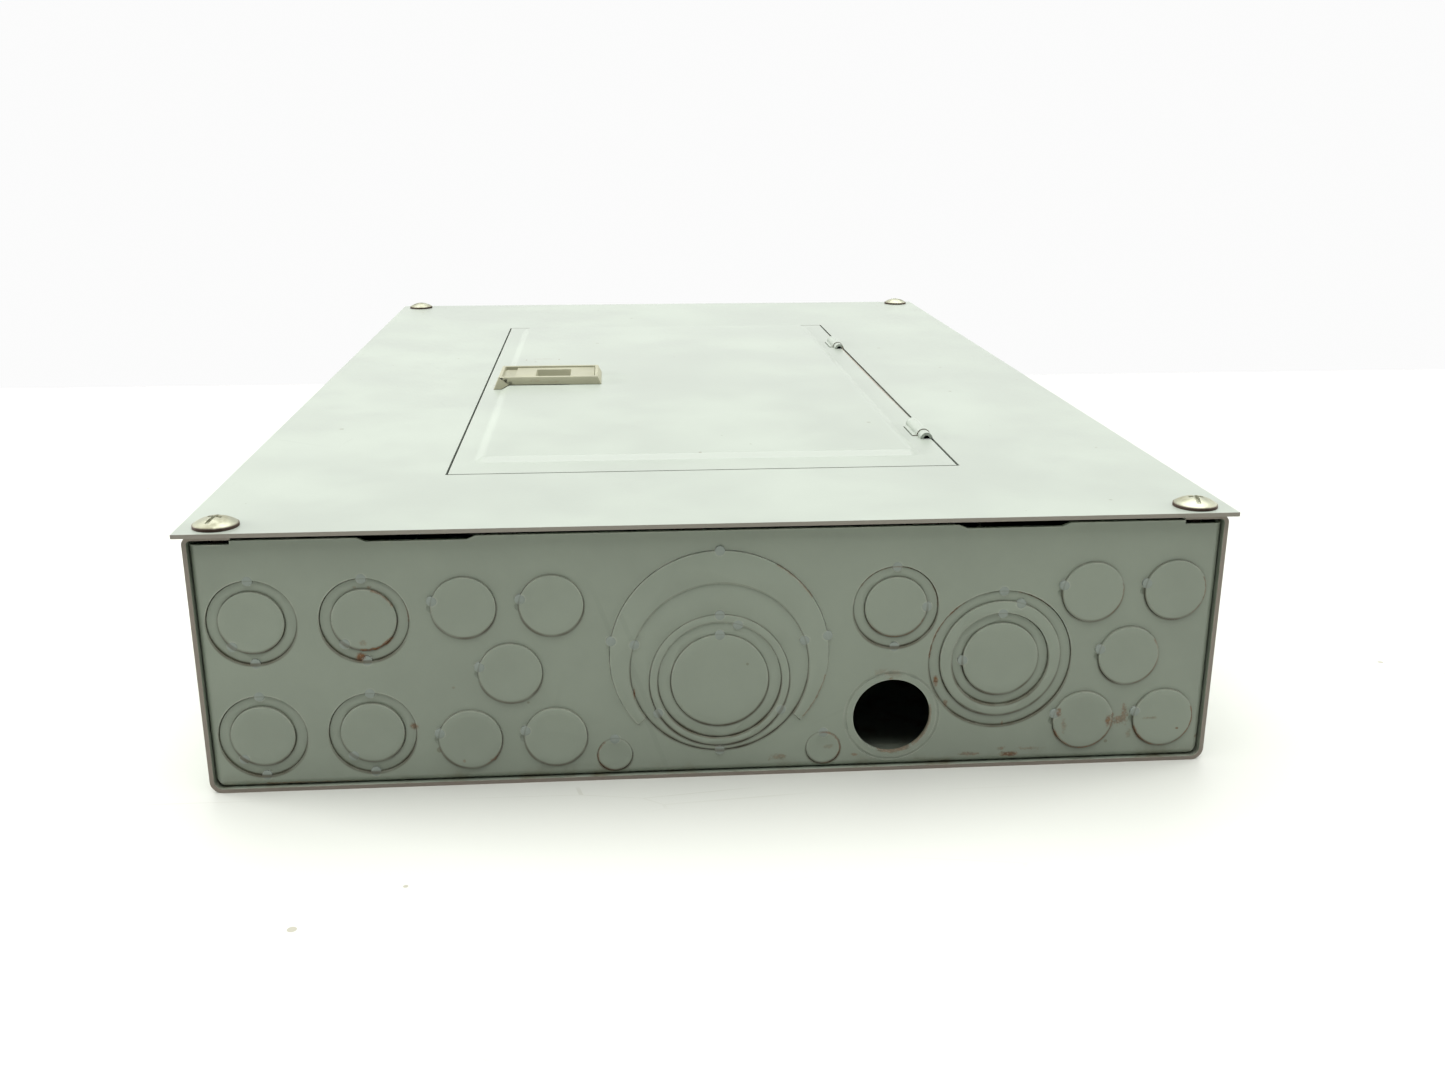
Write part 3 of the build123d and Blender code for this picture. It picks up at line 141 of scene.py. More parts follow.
class KnockoutSettings(bpy.types.PropertyGroup):
    """The knockouts of the end walls, from the middle of the lower wall."""

    wall: length("Sheet", "Thickness of the wall", 1.5)
    seam: length("Seam", "How far a disc reaches past its ring into the sheared line", 0.06)
    lift: length("Lift", "How far a disc sits off the middle of its opening, up or down", 0.15)
    edge: length("Edge", "Roundness of a sheared edge", 0.2)
    press: length("Press", "How far a disc is pressed out of the sheet", 1.0)
    dish: length("Dish", "How deep a disc is dished", 0.4)
    tie: length("Tie", "Radius of the spot where a ring is still joined", 1.8)
    hole: length("Hole", "Radius of the open knockout", 14.2)
    half_inch: length("Half inch", "Radius of the smallest trade size", 11.1)
    three_quarter: length("Three quarter inch", "Radius of the next trade size", 15.1)
    small: length("Small", "Radius of the two small knockouts", 6.2)
    height: length("Height", "Height of the rows' middle", 42.4)
    double_x: length("Doubles", "Middle of the four doubles", -142.0)
    double_step_x: length("Doubles across", "Half their spacing across", 19.0)
    double_step_z: length("Doubles up", "Half their spacing up", 21.25)
    pair_x: length("Pair", "Middle of the double over the open hole", 62.7)
    pair_step_z: length("Pair up", "Its height over the rows' middle", 21.0)
    left_five_x: length("Left five", "Middle of the five at the left", -73.8)
    right_five_x: length("Right five", "Middle of the five at the right", 149.0)
    five_step_x: length("Five across", "Half the spacing of the fives across", 15.1)
    five_step_z: length("Five up", "Half the spacing of the fives up", 24.9)
    small_x: length("Small across", "Distance of the small knockouts from the middle", 37.8)
    small_z: length("Small up", "Height of the small knockouts", 9.5)
    quad_x: length("Quad", "Middle of the four rings at the right", 101.6)
    quad_radii: lengths("Quad radii", "Radii of the four rings", 13.8, 17.6, 22.0, 26.0)
    nest_radii: lengths("Nest radii", "Radii of the five rings in the middle", 17.4, 22.0, 25.0, 31.8, 38.9)
    nest_heights: lengths("Nest heights", "Heights of the five rings' middles", 37.4, 37.4, 37.2, 42.15, 47.1)
    nest_open: FloatProperty(
        name="Nest open", description="Slope under which the outer ring ends", default=1.12
    )


class ScrewSettings(bpy.types.PropertyGroup):
    """The four screws that hold the cover."""

    head: length("Head radius", "Radius of the head", 7.75)
    rim: length("Rim", "Height of the head's upright edge", 1.0)
    rise: length("Dome", "Height of the dome above its edge", 2.6)
    shank: length("Shank radius", "Radius of the thread", 2.3)
    slot: length("Slot", "Width of the driver slot", 1.5)
    cross: length("Cross", "Half the length of the short recess across the slot", 2.6)
    slot_depth: length("Slot depth", "Depth of the driver slot at the middle", 1.3)
    steps: IntProperty(name="Dome steps", description="Rings that shape the dome", default=7, min=3)


class DoorSettings(bpy.types.PropertyGroup):
    """The pressed door."""

    sheet: length("Sheet", "Thickness of the door", 1.2)
    rise: length("Panel rise", "Height of the raised panel", 2.0)
    slope: length("Panel slope", "Width of the slope round the panel", 3.5)
    corner: length("Panel corner", "Radius of the panel's corners", 5.0)
    margin_left: length("Left margin", "Flat margin on the latch side", 8.5)
    margin_right: length("Right margin", "Flat margin on the hinge side", 10.5)
    margin_front: length("Front margin", "Flat margin at the lower end", 17.0)
    margin_back: length("Back margin", "Flat margin at the upper end", 7.5)
    bend: length("Bend", "Roundness of the pressed lines", 0.9)
    past_pin: length("Past pin", "How far the sheet runs past the hinge line", 1.9)
    notch: length("Notch", "Width of the notch round each hinge tab", 19.0)
    notch_reach: length("Notch reach", "Depth of the notch from the hinge line", 5.1)
    pin_seat: length("Pin seat", "Length of each curl round a pin", 6.0)
    seat: length("Seat radius", "Radius inside each curl", 1.42)


class LatchSettings(bpy.types.PropertyGroup):
    """The sliding latch and its bezel."""

    end_slope: length("End slope", "How far the ends lean in", 2.8)
    side_slope: length("Side slope", "How far the sides lean in", 1.5)
    rim: length("Rim", "Width of the raised rim", 1.5)
    recess: length("Recess", "Depth of the recess for the slide", 2.0)
    thumb_length: length("Thumb length", "Length of the thumb recess", 18.0)
    thumb_width: length("Thumb width", "Width of the thumb recess", 19.0)
    thumb_depth: length("Thumb depth", "Depth of the thumb recess", 5.2)
    thumb_offset: length("Thumb offset", "From the bezel's left end to the thumb recess", 29.8)
    thumb_wall: length("Thumb wall", "Wall round the thumb recess", 1.6)
    gap: length("Gap", "Clearance round the slide", 0.3)
    plate: length("Plate", "Thickness of the slide's plate", 1.0)
    tongue_width: length("Tongue width", "Width of the tongue", 12.0)
    tongue_height: length("Tongue height", "Thickness of the tongue", 1.6)
    softness: length("Edge softness", "Roundness of the moulded edges", 0.35)


class HandleSettings(bpy.types.PropertyGroup):
    """The breaker handles."""

    drum: length("Drum radius", "Radius of the round body", 7.5)
    drum_width: length("Drum width", "Width of the round body", 8.4)
    width: length("Paddle width", "Width of the paddle", 7.6)
    root: length("Root", "Thickness of the paddle at the pivot", 6.6)
    tip: length("Tip", "Thickness of the paddle at its end", 4.6)
    reach: length("Reach", "Distance from the pivot to the end of the paddle", 16.5)
    tilt: FloatProperty(
        name="Tilt", description="Lean to the on side", default=math.radians(17), subtype="ANGLE"
    )
    main_tilt: FloatProperty(
        name="Main tilt", description="Lean of the main handle", default=math.radians(15), subtype="ANGLE"
    )
    softness: length("Edge softness", "Roundness of the moulded edges", 0.6)
    tie: length("Tie bar", "Height of the bar that ties two paddles", 4.0)
    grip: length("Grip", "Size of the finger grooves", 1.0)
    grips: IntProperty(name="Grips", description="Finger grooves on each side", default=3, min=0, max=5)


class StageSettings(bpy.types.PropertyGroup):
    """The camera, the floor and the light."""

    lens: FloatProperty(name="Lens", description="Focal length in mm", default=34.49)
    place: FloatVectorProperty(
        name="Camera place", description="Where the camera stands", default=(-0.03527, -0.73395, 0.23171)
    )
    heading: FloatProperty(
        name="Heading", description="Turn about Z", default=math.radians(-4.541), subtype="ANGLE"
    )
    tilt: FloatProperty(
        name="Tilt", description="Tilt below the horizon", default=math.radians(17.331), subtype="ANGLE"
    )
    roll: FloatProperty(
        name="Roll", description="Roll about the view", default=math.radians(0.08), subtype="ANGLE"
    )
    floor: colour("Floor", "Colour of the floor", 0.52, 0.53, 0.49)
    softbox: FloatProperty(name="Softbox", description="Strength of the light overhead", default=5.5)
    softness: FloatProperty(
        name="Softness", description="How wide the light is", default=math.radians(80), subtype="ANGLE"
    )
    lean: FloatProperty(
        name="Lean", description="How far behind the light stands", default=math.radians(2), subtype="ANGLE"
    )
    backdrop: FloatProperty(name="Backdrop", description="Brightness seen behind the floor", default=0.97)
    foot: FloatProperty(
        name="Backdrop's foot", description="Where the backdrop meets the floor", default=0.497, unit="LENGTH"
    )
    side_left: FloatProperty(name="Left side light", description="Power in watts", default=28.0)
    side_right: FloatProperty(name="Right side light", description="Power in watts", default=17.0)
    ambient: FloatProperty(name="Ambient", description="Strength of the light from all round", default=0.06)


# ================================================================ node helpers
def add_node(tree, kind, inputs=(), **settings):
    """Adds a node, sets its options, and sets or links its inputs."""
    made = tree.nodes.new(kind)
    for name, value in settings.items():
        setattr(made, name, value)
    for name, value in dict(inputs).items():
        if isinstance(value, bpy.types.NodeSocket):
            tree.links.new(value, made.inputs[name])
        else:
            made.inputs[name].default_value = value
    return made


def calc(tree, operation, first, second=0.0, clamp=False):
    """The value of one sum."""
    return add_node(
        tree, "ShaderNodeMath", {0: first, 1: second}, operation=operation, use_clamp=clamp
    ).outputs[0]


def vector_calc(tree, operation, first, second=None):
    """The value of one sum of vectors, or the vector that it gives."""
    inputs = {0: first} if second is None else {0: first, 1: second}
    made = add_node(tree, "ShaderNodeVectorMath", inputs, operation=operation).outputs
    return made["Value" if operation in ("LENGTH", "DOT_PRODUCT") else "Vector"]


def blend_colours(tree, factor, first, second):
    """Two colours mixed by a factor. A plain colour is given as three numbers."""
    full = [value if isinstance(value, bpy.types.NodeSocket) else (*value, 1) for value in (first, second)]
    mixer = add_node(
        tree, "ShaderNodeMix", {0: factor, 6: full[0], 7: full[1]}, data_type="RGBA", blend_type="MIX"
    )
    return mixer.outputs[2]


def axis_of(tree, vector, axis):
    """One axis of a vector."""
    return add_node(tree, "ShaderNodeSeparateXYZ", {"Vector": vector}).outputs[axis]


def ramp(tree, value, low, high, start=0.0, end=1.0):
    """A value stretched smoothly from one range to another."""
    inputs = {"Value": value, "From Min": low, "From Max": high, "To Min": start, "To Max": end}
    return add_node(tree, "ShaderNodeMapRange", inputs, interpolation_type="SMOOTHSTEP").outputs["Result"]


def noise(tree, vector, scale, detail=3.0, roughness=0.5):
    """Noise from 0 to 1."""
    inputs = {"Vector": vector, "Scale": scale, "Detail": detail, "Roughness": roughness}
    return add_node(tree, "ShaderNodeTexNoise", inputs).outputs["Fac"]


def new_group(name, inputs, outputs):
    """An empty node group with its named sockets. Inputs are (name, kind, default)."""
    group = bpy.data.node_groups.new(name, "ShaderNodeTree")
    for label, kind, value in inputs:
        socket = group.interface.new_socket(label, in_out="INPUT", socket_type=f"NodeSocket{kind}")
        if value is not None:
            socket.default_value = value
    for label, kind in outputs:
        group.interface.new_socket(label, in_out="OUTPUT", socket_type=f"NodeSocket{kind}")
    return group, group.nodes.new("NodeGroupInput").outputs, group.nodes.new("NodeGroupOutput").inputs


def group_in(tree, maker, **inputs):
    """A placed group with its inputs set. Underscores in a name stand for spaces."""
    placed = add_node(tree, "ShaderNodeGroup", node_tree=bpy.data.node_groups.get(maker.__name__) or maker())
    for name, value in inputs.items():
        socket = placed.inputs[name.replace("_", " ").capitalize()]
        if isinstance(value, bpy.types.NodeSocket):
            tree.links.new(value, socket)
        else:
            socket.default_value = value
    return placed.outputs


# ================================================================ shared effects
def enamel_surface():
    """Fine orange peel and slow colour drift of sprayed enamel."""
    group, given, out = new_group(
        "enamel_surface",
        [("Vector", "Vector", None), ("Peel scale", "Float", 700.0), ("Mottle scale", "Float", 14.0)],
        [("Height", "Float"), ("Mottle", "Float")],
    )
    fine = noise(group, given["Vector"], given["Peel scale"], 2.0)
    group.links.new(fine, out["Height"])
    slow = noise(group, given["Vector"], given["Mottle scale"], 5.0, 0.62)
    group.links.new(ramp(group, slow, 0.3, 0.7), out["Mottle"])
    return group


def edge_wear():
    """A mask along outside edges, broken up by noise."""
    group, given, out = new_group(
        "edge_wear",
        [("Vector", "Vector", None), ("Width", "Float", 0.001), ("Scale", "Float", 260.0)],
        [("Mask", "Float")],
    )
    rounded = add_node(group, "ShaderNodeBevel", {"Radius": given["Width"]}, samples=4).outputs["Normal"]
    flat = add_node(group, "ShaderNodeNewGeometry").outputs["Normal"]
    match = vector_calc(group, "DOT_PRODUCT", rounded, flat)
    edge = ramp(group, match, 0.995, 0.85)
    broken = ramp(group, noise(group, given["Vector"], given["Scale"], 4.0, 0.6), 0.36, 0.58)
    group.links.new(calc(group, "MULTIPLY", edge, broken), out["Mask"])
    return group


def stain_patch():
    """A ragged patch round one place."""
    group, given, out = new_group(
        "stain_patch",
        [
            ("Vector", "Vector", None),
            ("Centre", "Vector", None),
            ("Reach", "Vector", (0.01, 0.01, 0.01)),
            ("Ragged", "Float", 0.6),
            ("Scale", "Float", 340.0),
        ],
        [("Mask", "Float")],
    )
    offset = vector_calc(group, "SUBTRACT", given["Vector"], given["Centre"])
    scaled = vector_calc(group, "DIVIDE", offset, given["Reach"])
    distance = vector_calc(group, "LENGTH", scaled)
    rough = noise(group, given["Vector"], given["Scale"], 5.0, 0.7)
    swing = calc(
        group, "MULTIPLY", calc(group, "SUBTRACT", rough, 0.5), calc(group, "MULTIPLY", given["Ragged"], 4.0)
    )
    edge = calc(group, "ADD", distance, swing)
    group.links.new(ramp(group, edge, 1.0, 0.35), out["Mask"])
    return group


def round_ring(group, given):
    """How far a point is from a ring in the XZ plane, and its direction from the ring's middle."""
    offset = vector_calc(group, "SUBTRACT", given["Vector"], given["Centre"])
    flat = vector_calc(group, "MULTIPLY", offset, (1, 0, 1))
    distance = vector_calc(group, "LENGTH", flat)
    away = calc(group, "ABSOLUTE", calc(group, "SUBTRACT", distance, given["Radius"]))
    return away, vector_calc(group, "NORMALIZE", flat)


def seam_stain():
    """A thin broken line of rust along part of a ring that lies in the XZ plane."""
    group, given, out = new_group(
        "seam_stain",
        [
            ("Vector", "Vector", None),
            ("Centre", "Vector", None),
            ("Radius", "Float", 0.01),
            ("Width", "Float", 0.0005),
            ("Direction", "Vector", (1, 0, 0)),
            ("Reach", "Float", 0.5),
        ],
        [("Mask", "Float")],
    )
    away, aim = round_ring(group, given)
    rough = noise(group, given["Vector"], 420.0, 4.0, 0.65)
    spread = calc(group, "MULTIPLY", given["Width"], ramp(group, rough, 0.3, 0.7, 0.5, 1.7))
    line = ramp(group, calc(group, "DIVIDE", away, spread), 1.0, 0.4)
    along = vector_calc(group, "DOT_PRODUCT", aim, given["Direction"])
    within = ramp(
        group, along, given["Reach"], calc(group, "ADD", calc(group, "MULTIPLY", given["Reach"], 0.8), 0.2)
    )
    broken = ramp(group, noise(group, given["Vector"], 150.0, 3.0), 0.3, 0.5, 0.35, 1.0)
    group.links.new(calc(group, "MULTIPLY", calc(group, "MULTIPLY", line, within), broken), out["Mask"])
    return group


def seam_dirt_and_shadow():
    """Dirt and painted shadow round a ring that lies in the XZ plane, wider and darker under it, where its disc's
    shadow falls.
    """
    group, given, out = new_group(
        "seam_dirt_and_shadow",
        [
            ("Vector", "Vector", None),
            ("Centre", "Vector", None),
            ("Radius", "Float", 0.01),
            ("Width", "Float", 0.001),
        ],
        [("Mask", "Float")],
    )
    away, aim = round_ring(group, given)
    # The band is widest and darkest under the ring: painted shadow under the proud disc, laid over dirt in the
    # seam.
    down = vector_calc(group, "DOT_PRODUCT", aim, (0, 0, -1))
    darker_below = ramp(group, down, -0.5, 0.9, 0.35, 1.0)
    line = ramp(group, calc(group, "DIVIDE", away, calc(group, "MULTIPLY", given["Width"], darker_below)), 1.0, 0.3)
    group.links.new(calc(group, "MULTIPLY", line, darker_below), out["Mask"])
    return group


def hair_scratches():
    """Thin scratches that cross at all angles and come and go."""
    group, given, out = new_group(
        "hair_scratches",
        [
            ("Vector", "Vector", None),
            ("Scale", "Float", 9.0),
            ("Width", "Float", 0.012),
            ("Cover", "Float", 0.5),
        ],
        [("Mask", "Float")],
    )
    total = None
    for heading, stretch in ((0.5, 5.0), (1.9, 7.0), (2.7, 4.0)):
        turned = add_node(
            group, "ShaderNodeMapping", {
                "Vector": given["Vector"], "Rotation": (0, 0, heading), "Scale": (1, stretch, 1)
            }
        ).outputs["Vector"]
        cells = add_node(
            group, "ShaderNodeTexVoronoi", {
                "Vector": turned, "Scale": given["Scale"]
            }, feature="DISTANCE_TO_EDGE"
        ).outputs["Distance"]
        line = calc(group, "LESS_THAN", cells, given["Width"])
        there = ramp(
            group, noise(group, turned, calc(group, "MULTIPLY", given["Scale"], 0.7), 2.0), 0.62, 0.72
        )
        mark = calc(group, "MULTIPLY", line, there)
        total = mark if total is None else calc(group, "MAXIMUM", total, mark)
    group.links.new(calc(group, "MULTIPLY", total, given["Cover"]), out["Mask"])
    return group


def specks():
    """Small scattered specks of uneven size."""
    group, given, out = new_group(
        "specks",
        [("Vector", "Vector", None), ("Scale", "Float", 120.0), ("Size", "Float", 0.12)],
        [("Mask", "Float")],
    )
    cells = add_node(group, "ShaderNodeTexVoronoi", {"Vector": given["Vector"], "Scale": given["Scale"]})
    chance = add_node(group, "ShaderNodeSeparateColor", {"Color": cells.outputs["Color"]}).outputs["Red"]
    size = calc(group, "MULTIPLY", given["Size"], calc(group, "POWER", chance, 6.0))
    group.links.new(calc(group, "LESS_THAN", cells.outputs["Distance"], size), out["Mask"])
    return group


# ================================================================ materials
def new_material(name):
    """A material with an empty Principled shader. Returns it, its tree, its shader and its coordinates."""
    material = bpy.data.materials.new(name)
    material.use_nodes = True
    tree = material.node_tree
    shader = tree.nodes["Principled BSDF"]
    place = add_node(tree, "ShaderNodeTexCoord").outputs["Object"]
    return material, tree, shader, place


def set_bump(tree, shader, height, distance, strength=1.0):
    """Feeds a height to the shader's normal."""
    bump = add_node(tree, "ShaderNodeBump", {"Height": height, "Distance": distance, "Strength": strength})
    tree.links.new(bump.outputs["Normal"], shader.inputs["Normal"])


def enamel(
    name, base, patches=(), wear=0.5, low_dirt=None, scratches=0.25, ends=0.0, seams=(), ties=False, rings=()
):
    """Sprayed enamel on sheet metal, worn at the edges, with grime and rust.

    A patch is (centre, reach, ragged, strength), and a seam is an arc in the XZ plane, in mm and degrees:
    (x, z, radius, middle, half sweep, width, strength). low_dirt is the height under which dirt gathers,
    ends is how much bare steel shows on the cut edges that look along Y, ties tells of joined spots, and
    rings are the x, z and radius of seams that have dirt in them, with painted shadow under each disc.
    """
    paint = bpy.context.scene.load_center_paint
    material, tree, shader, place = new_material(name)
    surface = group_in(tree, enamel_surface, vector=place)
    deep = tuple(0.93 * part for part in base)
    pale = tuple(min(1.0, 1.05 * part) for part in base)
    tint = blend_colours(tree, surface["Mottle"], deep, pale)
    dull = ramp(tree, surface["Mottle"], 0.0, 1.0, paint.gloss - 0.04, paint.gloss + 0.07)
    marks = group_in(tree, hair_scratches, vector=place, scale=11.0, width=0.006, cover=scratches)["Mask"]
    tint = blend_colours(tree, marks, tint, tuple(0.8 * part for part in base))
    dirt = group_in(tree, specks, vector=place, scale=90.0, size=0.10)["Mask"]
    tint = blend_colours(tree, calc(tree, "MULTIPLY", dirt, 0.55), tint, paint.grime)
    if low_dirt:
        height = axis_of(tree, place, "Z")
        low = ramp(tree, height, low_dirt, 0.0)
        patchy = ramp(tree, noise(tree, place, 60.0, 6.0, 0.65), 0.45, 0.75)
        tint = blend_colours(tree, calc(tree, "MULTIPLY", low, patchy), tint, paint.grime)
    worn = group_in(tree, edge_wear, vector=place)["Mask"]
    tint = blend_colours(tree, calc(tree, "MULTIPLY", worn, wear), tint, paint.rubbed)
    if ends:
        normal = add_node(tree, "ShaderNodeNewGeometry").outputs["Normal"]
        along = calc(tree, "ABSOLUTE", axis_of(tree, normal, "Y"))
        bare = calc(tree, "MULTIPLY", ramp(tree, along, 0.8, 0.95), ends)
        tint = blend_colours(tree, bare, tint, paint.cut)
    if ties:
        joined = add_node(tree, "ShaderNodeAttribute", attribute_name="tie").outputs["Fac"]
        tint = blend_colours(tree, calc(tree, "MULTIPLY", joined, 0.55), tint, paint.tie)
    # Dirt and painted shadow round the knockout rings, mixed towards a darkened grime; the dark under each disc
    # stands in for its shadow.
    dirt_and_shadow_under_rings = None
    for x, z, radius in rings:
        ring = group_in(tree, seam_dirt_and_shadow, vector=place, centre=(x, 0, z), radius=radius, width=1.0 * MM)
        mask = ring["Mask"]
        dirt_and_shadow_under_rings = mask if dirt_and_shadow_under_rings is None else calc(tree, "MAXIMUM", dirt_and_shadow_under_rings, mask)
    if dirt_and_shadow_under_rings is not None:
        uneven = ramp(tree, noise(tree, place, 130.0, 4.0), 0.3, 0.65, 0.5, 0.9)
        tint = blend_colours(
            tree, calc(tree, "MULTIPLY", dirt_and_shadow_under_rings, uneven), tint, tuple(0.55 * part for part in paint.grime)
        )
    masks = []
    for centre, reach, ragged, strength in patches:
        patch = group_in(tree, stain_patch, vector=place, centre=centre, reach=reach, ragged=ragged)
        masks.append((patch["Mask"], strength))
    for x, z, radius, middle, sweep, width, strength in seams:
        angle = math.radians(middle)
        arc = group_in(
            tree, seam_stain, vector=place, centre=(x * MM, 0, z * MM), radius=radius * MM, width=width * MM,
            direction=(math.cos(angle), 0, math.sin(angle)), reach=math.cos(math.radians(sweep)),
        )
        masks.append((arc["Mask"], strength))
    rusted = None
    for mask, strength in masks:
        mask = calc(tree, "MULTIPLY", mask, strength)
        rusted = mask if rusted is None else calc(tree, "MAXIMUM", rusted, mask)
    if rusted is not None:
        fine = ramp(tree, noise(tree, place, 1100.0, 4.0, 0.7), 0.30, 0.50, 0.25, 1.0)
        rusted = calc(tree, "MULTIPLY", rusted, fine)
        variety = ramp(tree, noise(tree, place, 900.0, 3.0), 0.35, 0.7)
        rust = blend_colours(tree, variety, paint.rust, tuple(0.45 * part for part in paint.rust))
        tint = blend_colours(tree, rusted, tint, rust)
        dull = calc(tree, "ADD", dull, calc(tree, "MULTIPLY", rusted, 0.4), clamp=True)
    tree.links.new(tint, shader.inputs["Base Color"])
    tree.links.new(dull, shader.inputs["Roughness"])
    set_bump(tree, shader, surface["Height"], paint.peel)
    return material


def moulded(name, base, rough=0.5, grain=1400.0, wear=0.25, stains=()):
    """Moulded plastic with a fine grain, rubbed paler at its edges."""
    paint = bpy.context.scene.load_center_paint
    material, tree, shader, place = new_material(name)
    surface = group_in(tree, enamel_surface, vector=place, peel_scale=grain, mottle_scale=55.0)
    tint = blend_colours(tree, surface["Mottle"], tuple(0.9 * part for part in base), base)
    worn = group_in(tree, edge_wear, vector=place, width=0.0005, scale=400.0)["Mask"]
    pale = tuple(min(1.0, 1.3 * part + 0.03) for part in base)
    tint = blend_colours(tree, calc(tree, "MULTIPLY", worn, wear), tint, pale)
    dirt = group_in(tree, specks, vector=place, scale=260.0, size=0.14)["Mask"]
    tint = blend_colours(tree, calc(tree, "MULTIPLY", dirt, 0.6), tint, paint.grime)
    for centre, reach, ragged, strength in stains:
        mask = group_in(tree, stain_patch, vector=place, centre=centre, reach=reach, ragged=ragged)["Mask"]
        tint = blend_colours(tree, calc(tree, "MULTIPLY", mask, strength), tint, paint.rust)
    dull = ramp(tree, surface["Mottle"], 0.0, 1.0, rough - 0.06, rough + 0.08)
    tree.links.new(tint, shader.inputs["Base Color"])
    tree.links.new(dull, shader.inputs["Roughness"])
    set_bump(tree, shader, surface["Height"], 0.02 * MM)
    return material


def bare_metal(name, base, rough=0.35, brushed=(1, 30, 1), tarnish=0.3, rim=None, pitted=0.015):
    """Plated or extruded metal with drawn lines and tarnish, dark with dirt under the height of its rim."""
    paint = bpy.context.scene.load_center_paint
    material, tree, shader, place = new_material(name)
    drawn = add_node(tree, "ShaderNodeMapping", {"Vector": place, "Scale": brushed}).outputs["Vector"]
    lines = noise(tree, drawn, 220.0, 4.0, 0.6)
    cloud = ramp(tree, noise(tree, place, 110.0, 5.0, 0.65), 0.42, 0.72)
    tint = blend_colours(tree, ramp(tree, lines, 0.3, 0.7), tuple(0.82 * part for part in base), base)
    tint = blend_colours(tree, calc(tree, "MULTIPLY", cloud, tarnish), tint, paint.grime)
    dull = ramp(tree, cloud, 0.0, 1.0, rough, min(1.0, rough + 0.25))
    if rim:
        height = axis_of(tree, place, "Z")
        dirty = ramp(tree, height, rim + 0.5 * MM, rim - 0.1 * MM)
        tint = blend_colours(tree, dirty, tint, (0.07, 0.05, 0.04))
        dull = calc(tree, "ADD", dull, calc(tree, "MULTIPLY", dirty, 0.4), clamp=True)
    tree.links.new(tint, shader.inputs["Base Color"])
    tree.links.new(dull, shader.inputs["Roughness"])
    shader.inputs["Metallic"].default_value = 0.9
    set_bump(tree, shader, lines, pitted * MM)
    return material


def card_stock(name, low, high):
    """Card with fibres and ruled lines along its length."""
    plastics = bpy.context.scene.load_center_plastics
    material, tree, shader, place = new_material(name)
    fibres = noise(tree, place, 1500.0, 4.0)
    tint = blend_colours(tree, fibres, tuple(0.93 * part for part in plastics.card), plastics.card)
    axes = add_node(tree, "ShaderNodeSeparateXYZ", {"Vector": place})
    row = calc(tree, "FRACT", calc(tree, "DIVIDE", calc(tree, "SUBTRACT", axes.outputs["Y"], low.y), 12 * MM))
    rule = calc(tree, "LESS_THAN", row, 0.045)
    middle = calc(tree, "SUBTRACT", axes.outputs["X"], (low.x + high.x) / 2)
    upright = calc(tree, "LESS_THAN", calc(tree, "ABSOLUTE", middle), 0.3 * MM)
    tint = blend_colours(tree, calc(tree, "MAXIMUM", rule, upright), tint, plastics.ink)
    tree.links.new(tint, shader.inputs["Base Color"])
    shader.inputs["Roughness"].default_value = 0.85
    set_bump(tree, shader, fibres, 0.02 * MM)
    return material


def coat(nodes, material):
    """Gives CAD nodes a material."""
    for node in nodes:
        for slot in frame["nodes"][node].material_slots:
            slot.material = material


# ================================================================ modelling helpers
def deselect():
    """Leaves edit mode and selects nothing."""
    if bpy.context.object and bpy.context.object.mode != "OBJECT":
        bpy.ops.object.mode_set(mode="OBJECT")
    bpy.ops.object.select_all(action="DESELECT")


def hold(*pieces):
    """Selects pieces, the first one active."""
    deselect()
    for piece in pieces:
        piece.select_set(True)
    bpy.context.view_layer.objects.active = pieces[0]


def settle(piece, name=None):
    """Names a piece and puts its place, turn and scale into its mesh."""
    hold(piece)
    bpy.ops.object.transform_apply(location=True, rotation=True, scale=True)
    if name:
        piece.name = name
        piece.data.name = name
    return piece


def new_block(name, low, high):
    """A box between two corners."""
    low, high = Vector(low), Vector(high)
    deselect()
    bpy.ops.mesh.primitive_cube_add(size=1, location=(low + high) / 2)
    bpy.ops.transform.resize(value=high - low)
    return settle(bpy.context.object, name)


def new_disc(name, centre, radius, depth, axis="Z", sides=48):
    """A round bar about its centre."""
    quarter = math.pi / 2
    stance = {"X": (0, quarter, 0), "Y": (quarter, 0, 0), "Z": (0, 0, 0)}[axis]
    deselect()
    bpy.ops.mesh.primitive_cylinder_add(
        vertices=sides, radius=radius, depth=depth, location=centre, rotation=stance
    )
    return settle(bpy.context.object, name)


def new_sheet(name, low, high, height):
    """A flat rectangle between two corners at a height."""
    deselect()
    bpy.ops.mesh.primitive_plane_add(size=1, location=(*((low + high) / 2), height))
    bpy.ops.transform.resize(value=(*(high - low), 1))
    return settle(bpy.context.object, name)


def new_frustum(name, low, high, base, top, lean_x, lean_y):
    """A block whose far face is smaller on each side by the leans."""
    block = new_block(name, (*low, min(base, top)), (*high, max(base, top)))
    size = high - low
    edit(block, "FACE", lambda face: abs(middle_of(face).z - top) < 1e-6)
    bpy.ops.transform.resize(
        value=(
            1 - 2 * lean_x / size.x, 1 - 2 * lean_y / size.y, 1
        ), center_override=(*((low + high) / 2), top)
    )
    close_edit()
    return block


def panel_outline(door):
    """The lowest and highest corner of the door's raised panel, where it meets the margins."""
    low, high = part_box("door_panel")
    right = JOINTS["door_swing"]["pos_m"][0] + door.past_pin
    return (
        Vector((low.x + door.margin_left, low.y + door.margin_front)),
        Vector((right - door.margin_right, high.y - door.margin_back)),
    )


def recess_outline(latch):
    """The corners of the recess that the slide runs in."""
    low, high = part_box("latch_bezel")
    inset = Vector((latch.end_slope + latch.rim, latch.side_slope + latch.rim))
    return low.xy + inset, high.xy - inset


def thumb_middle(latch):
    """The middle of the thumb recess."""
    low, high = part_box("latch_bezel")
    return Vector((low.x + latch.thumb_offset, (low.y + high.y) / 2))


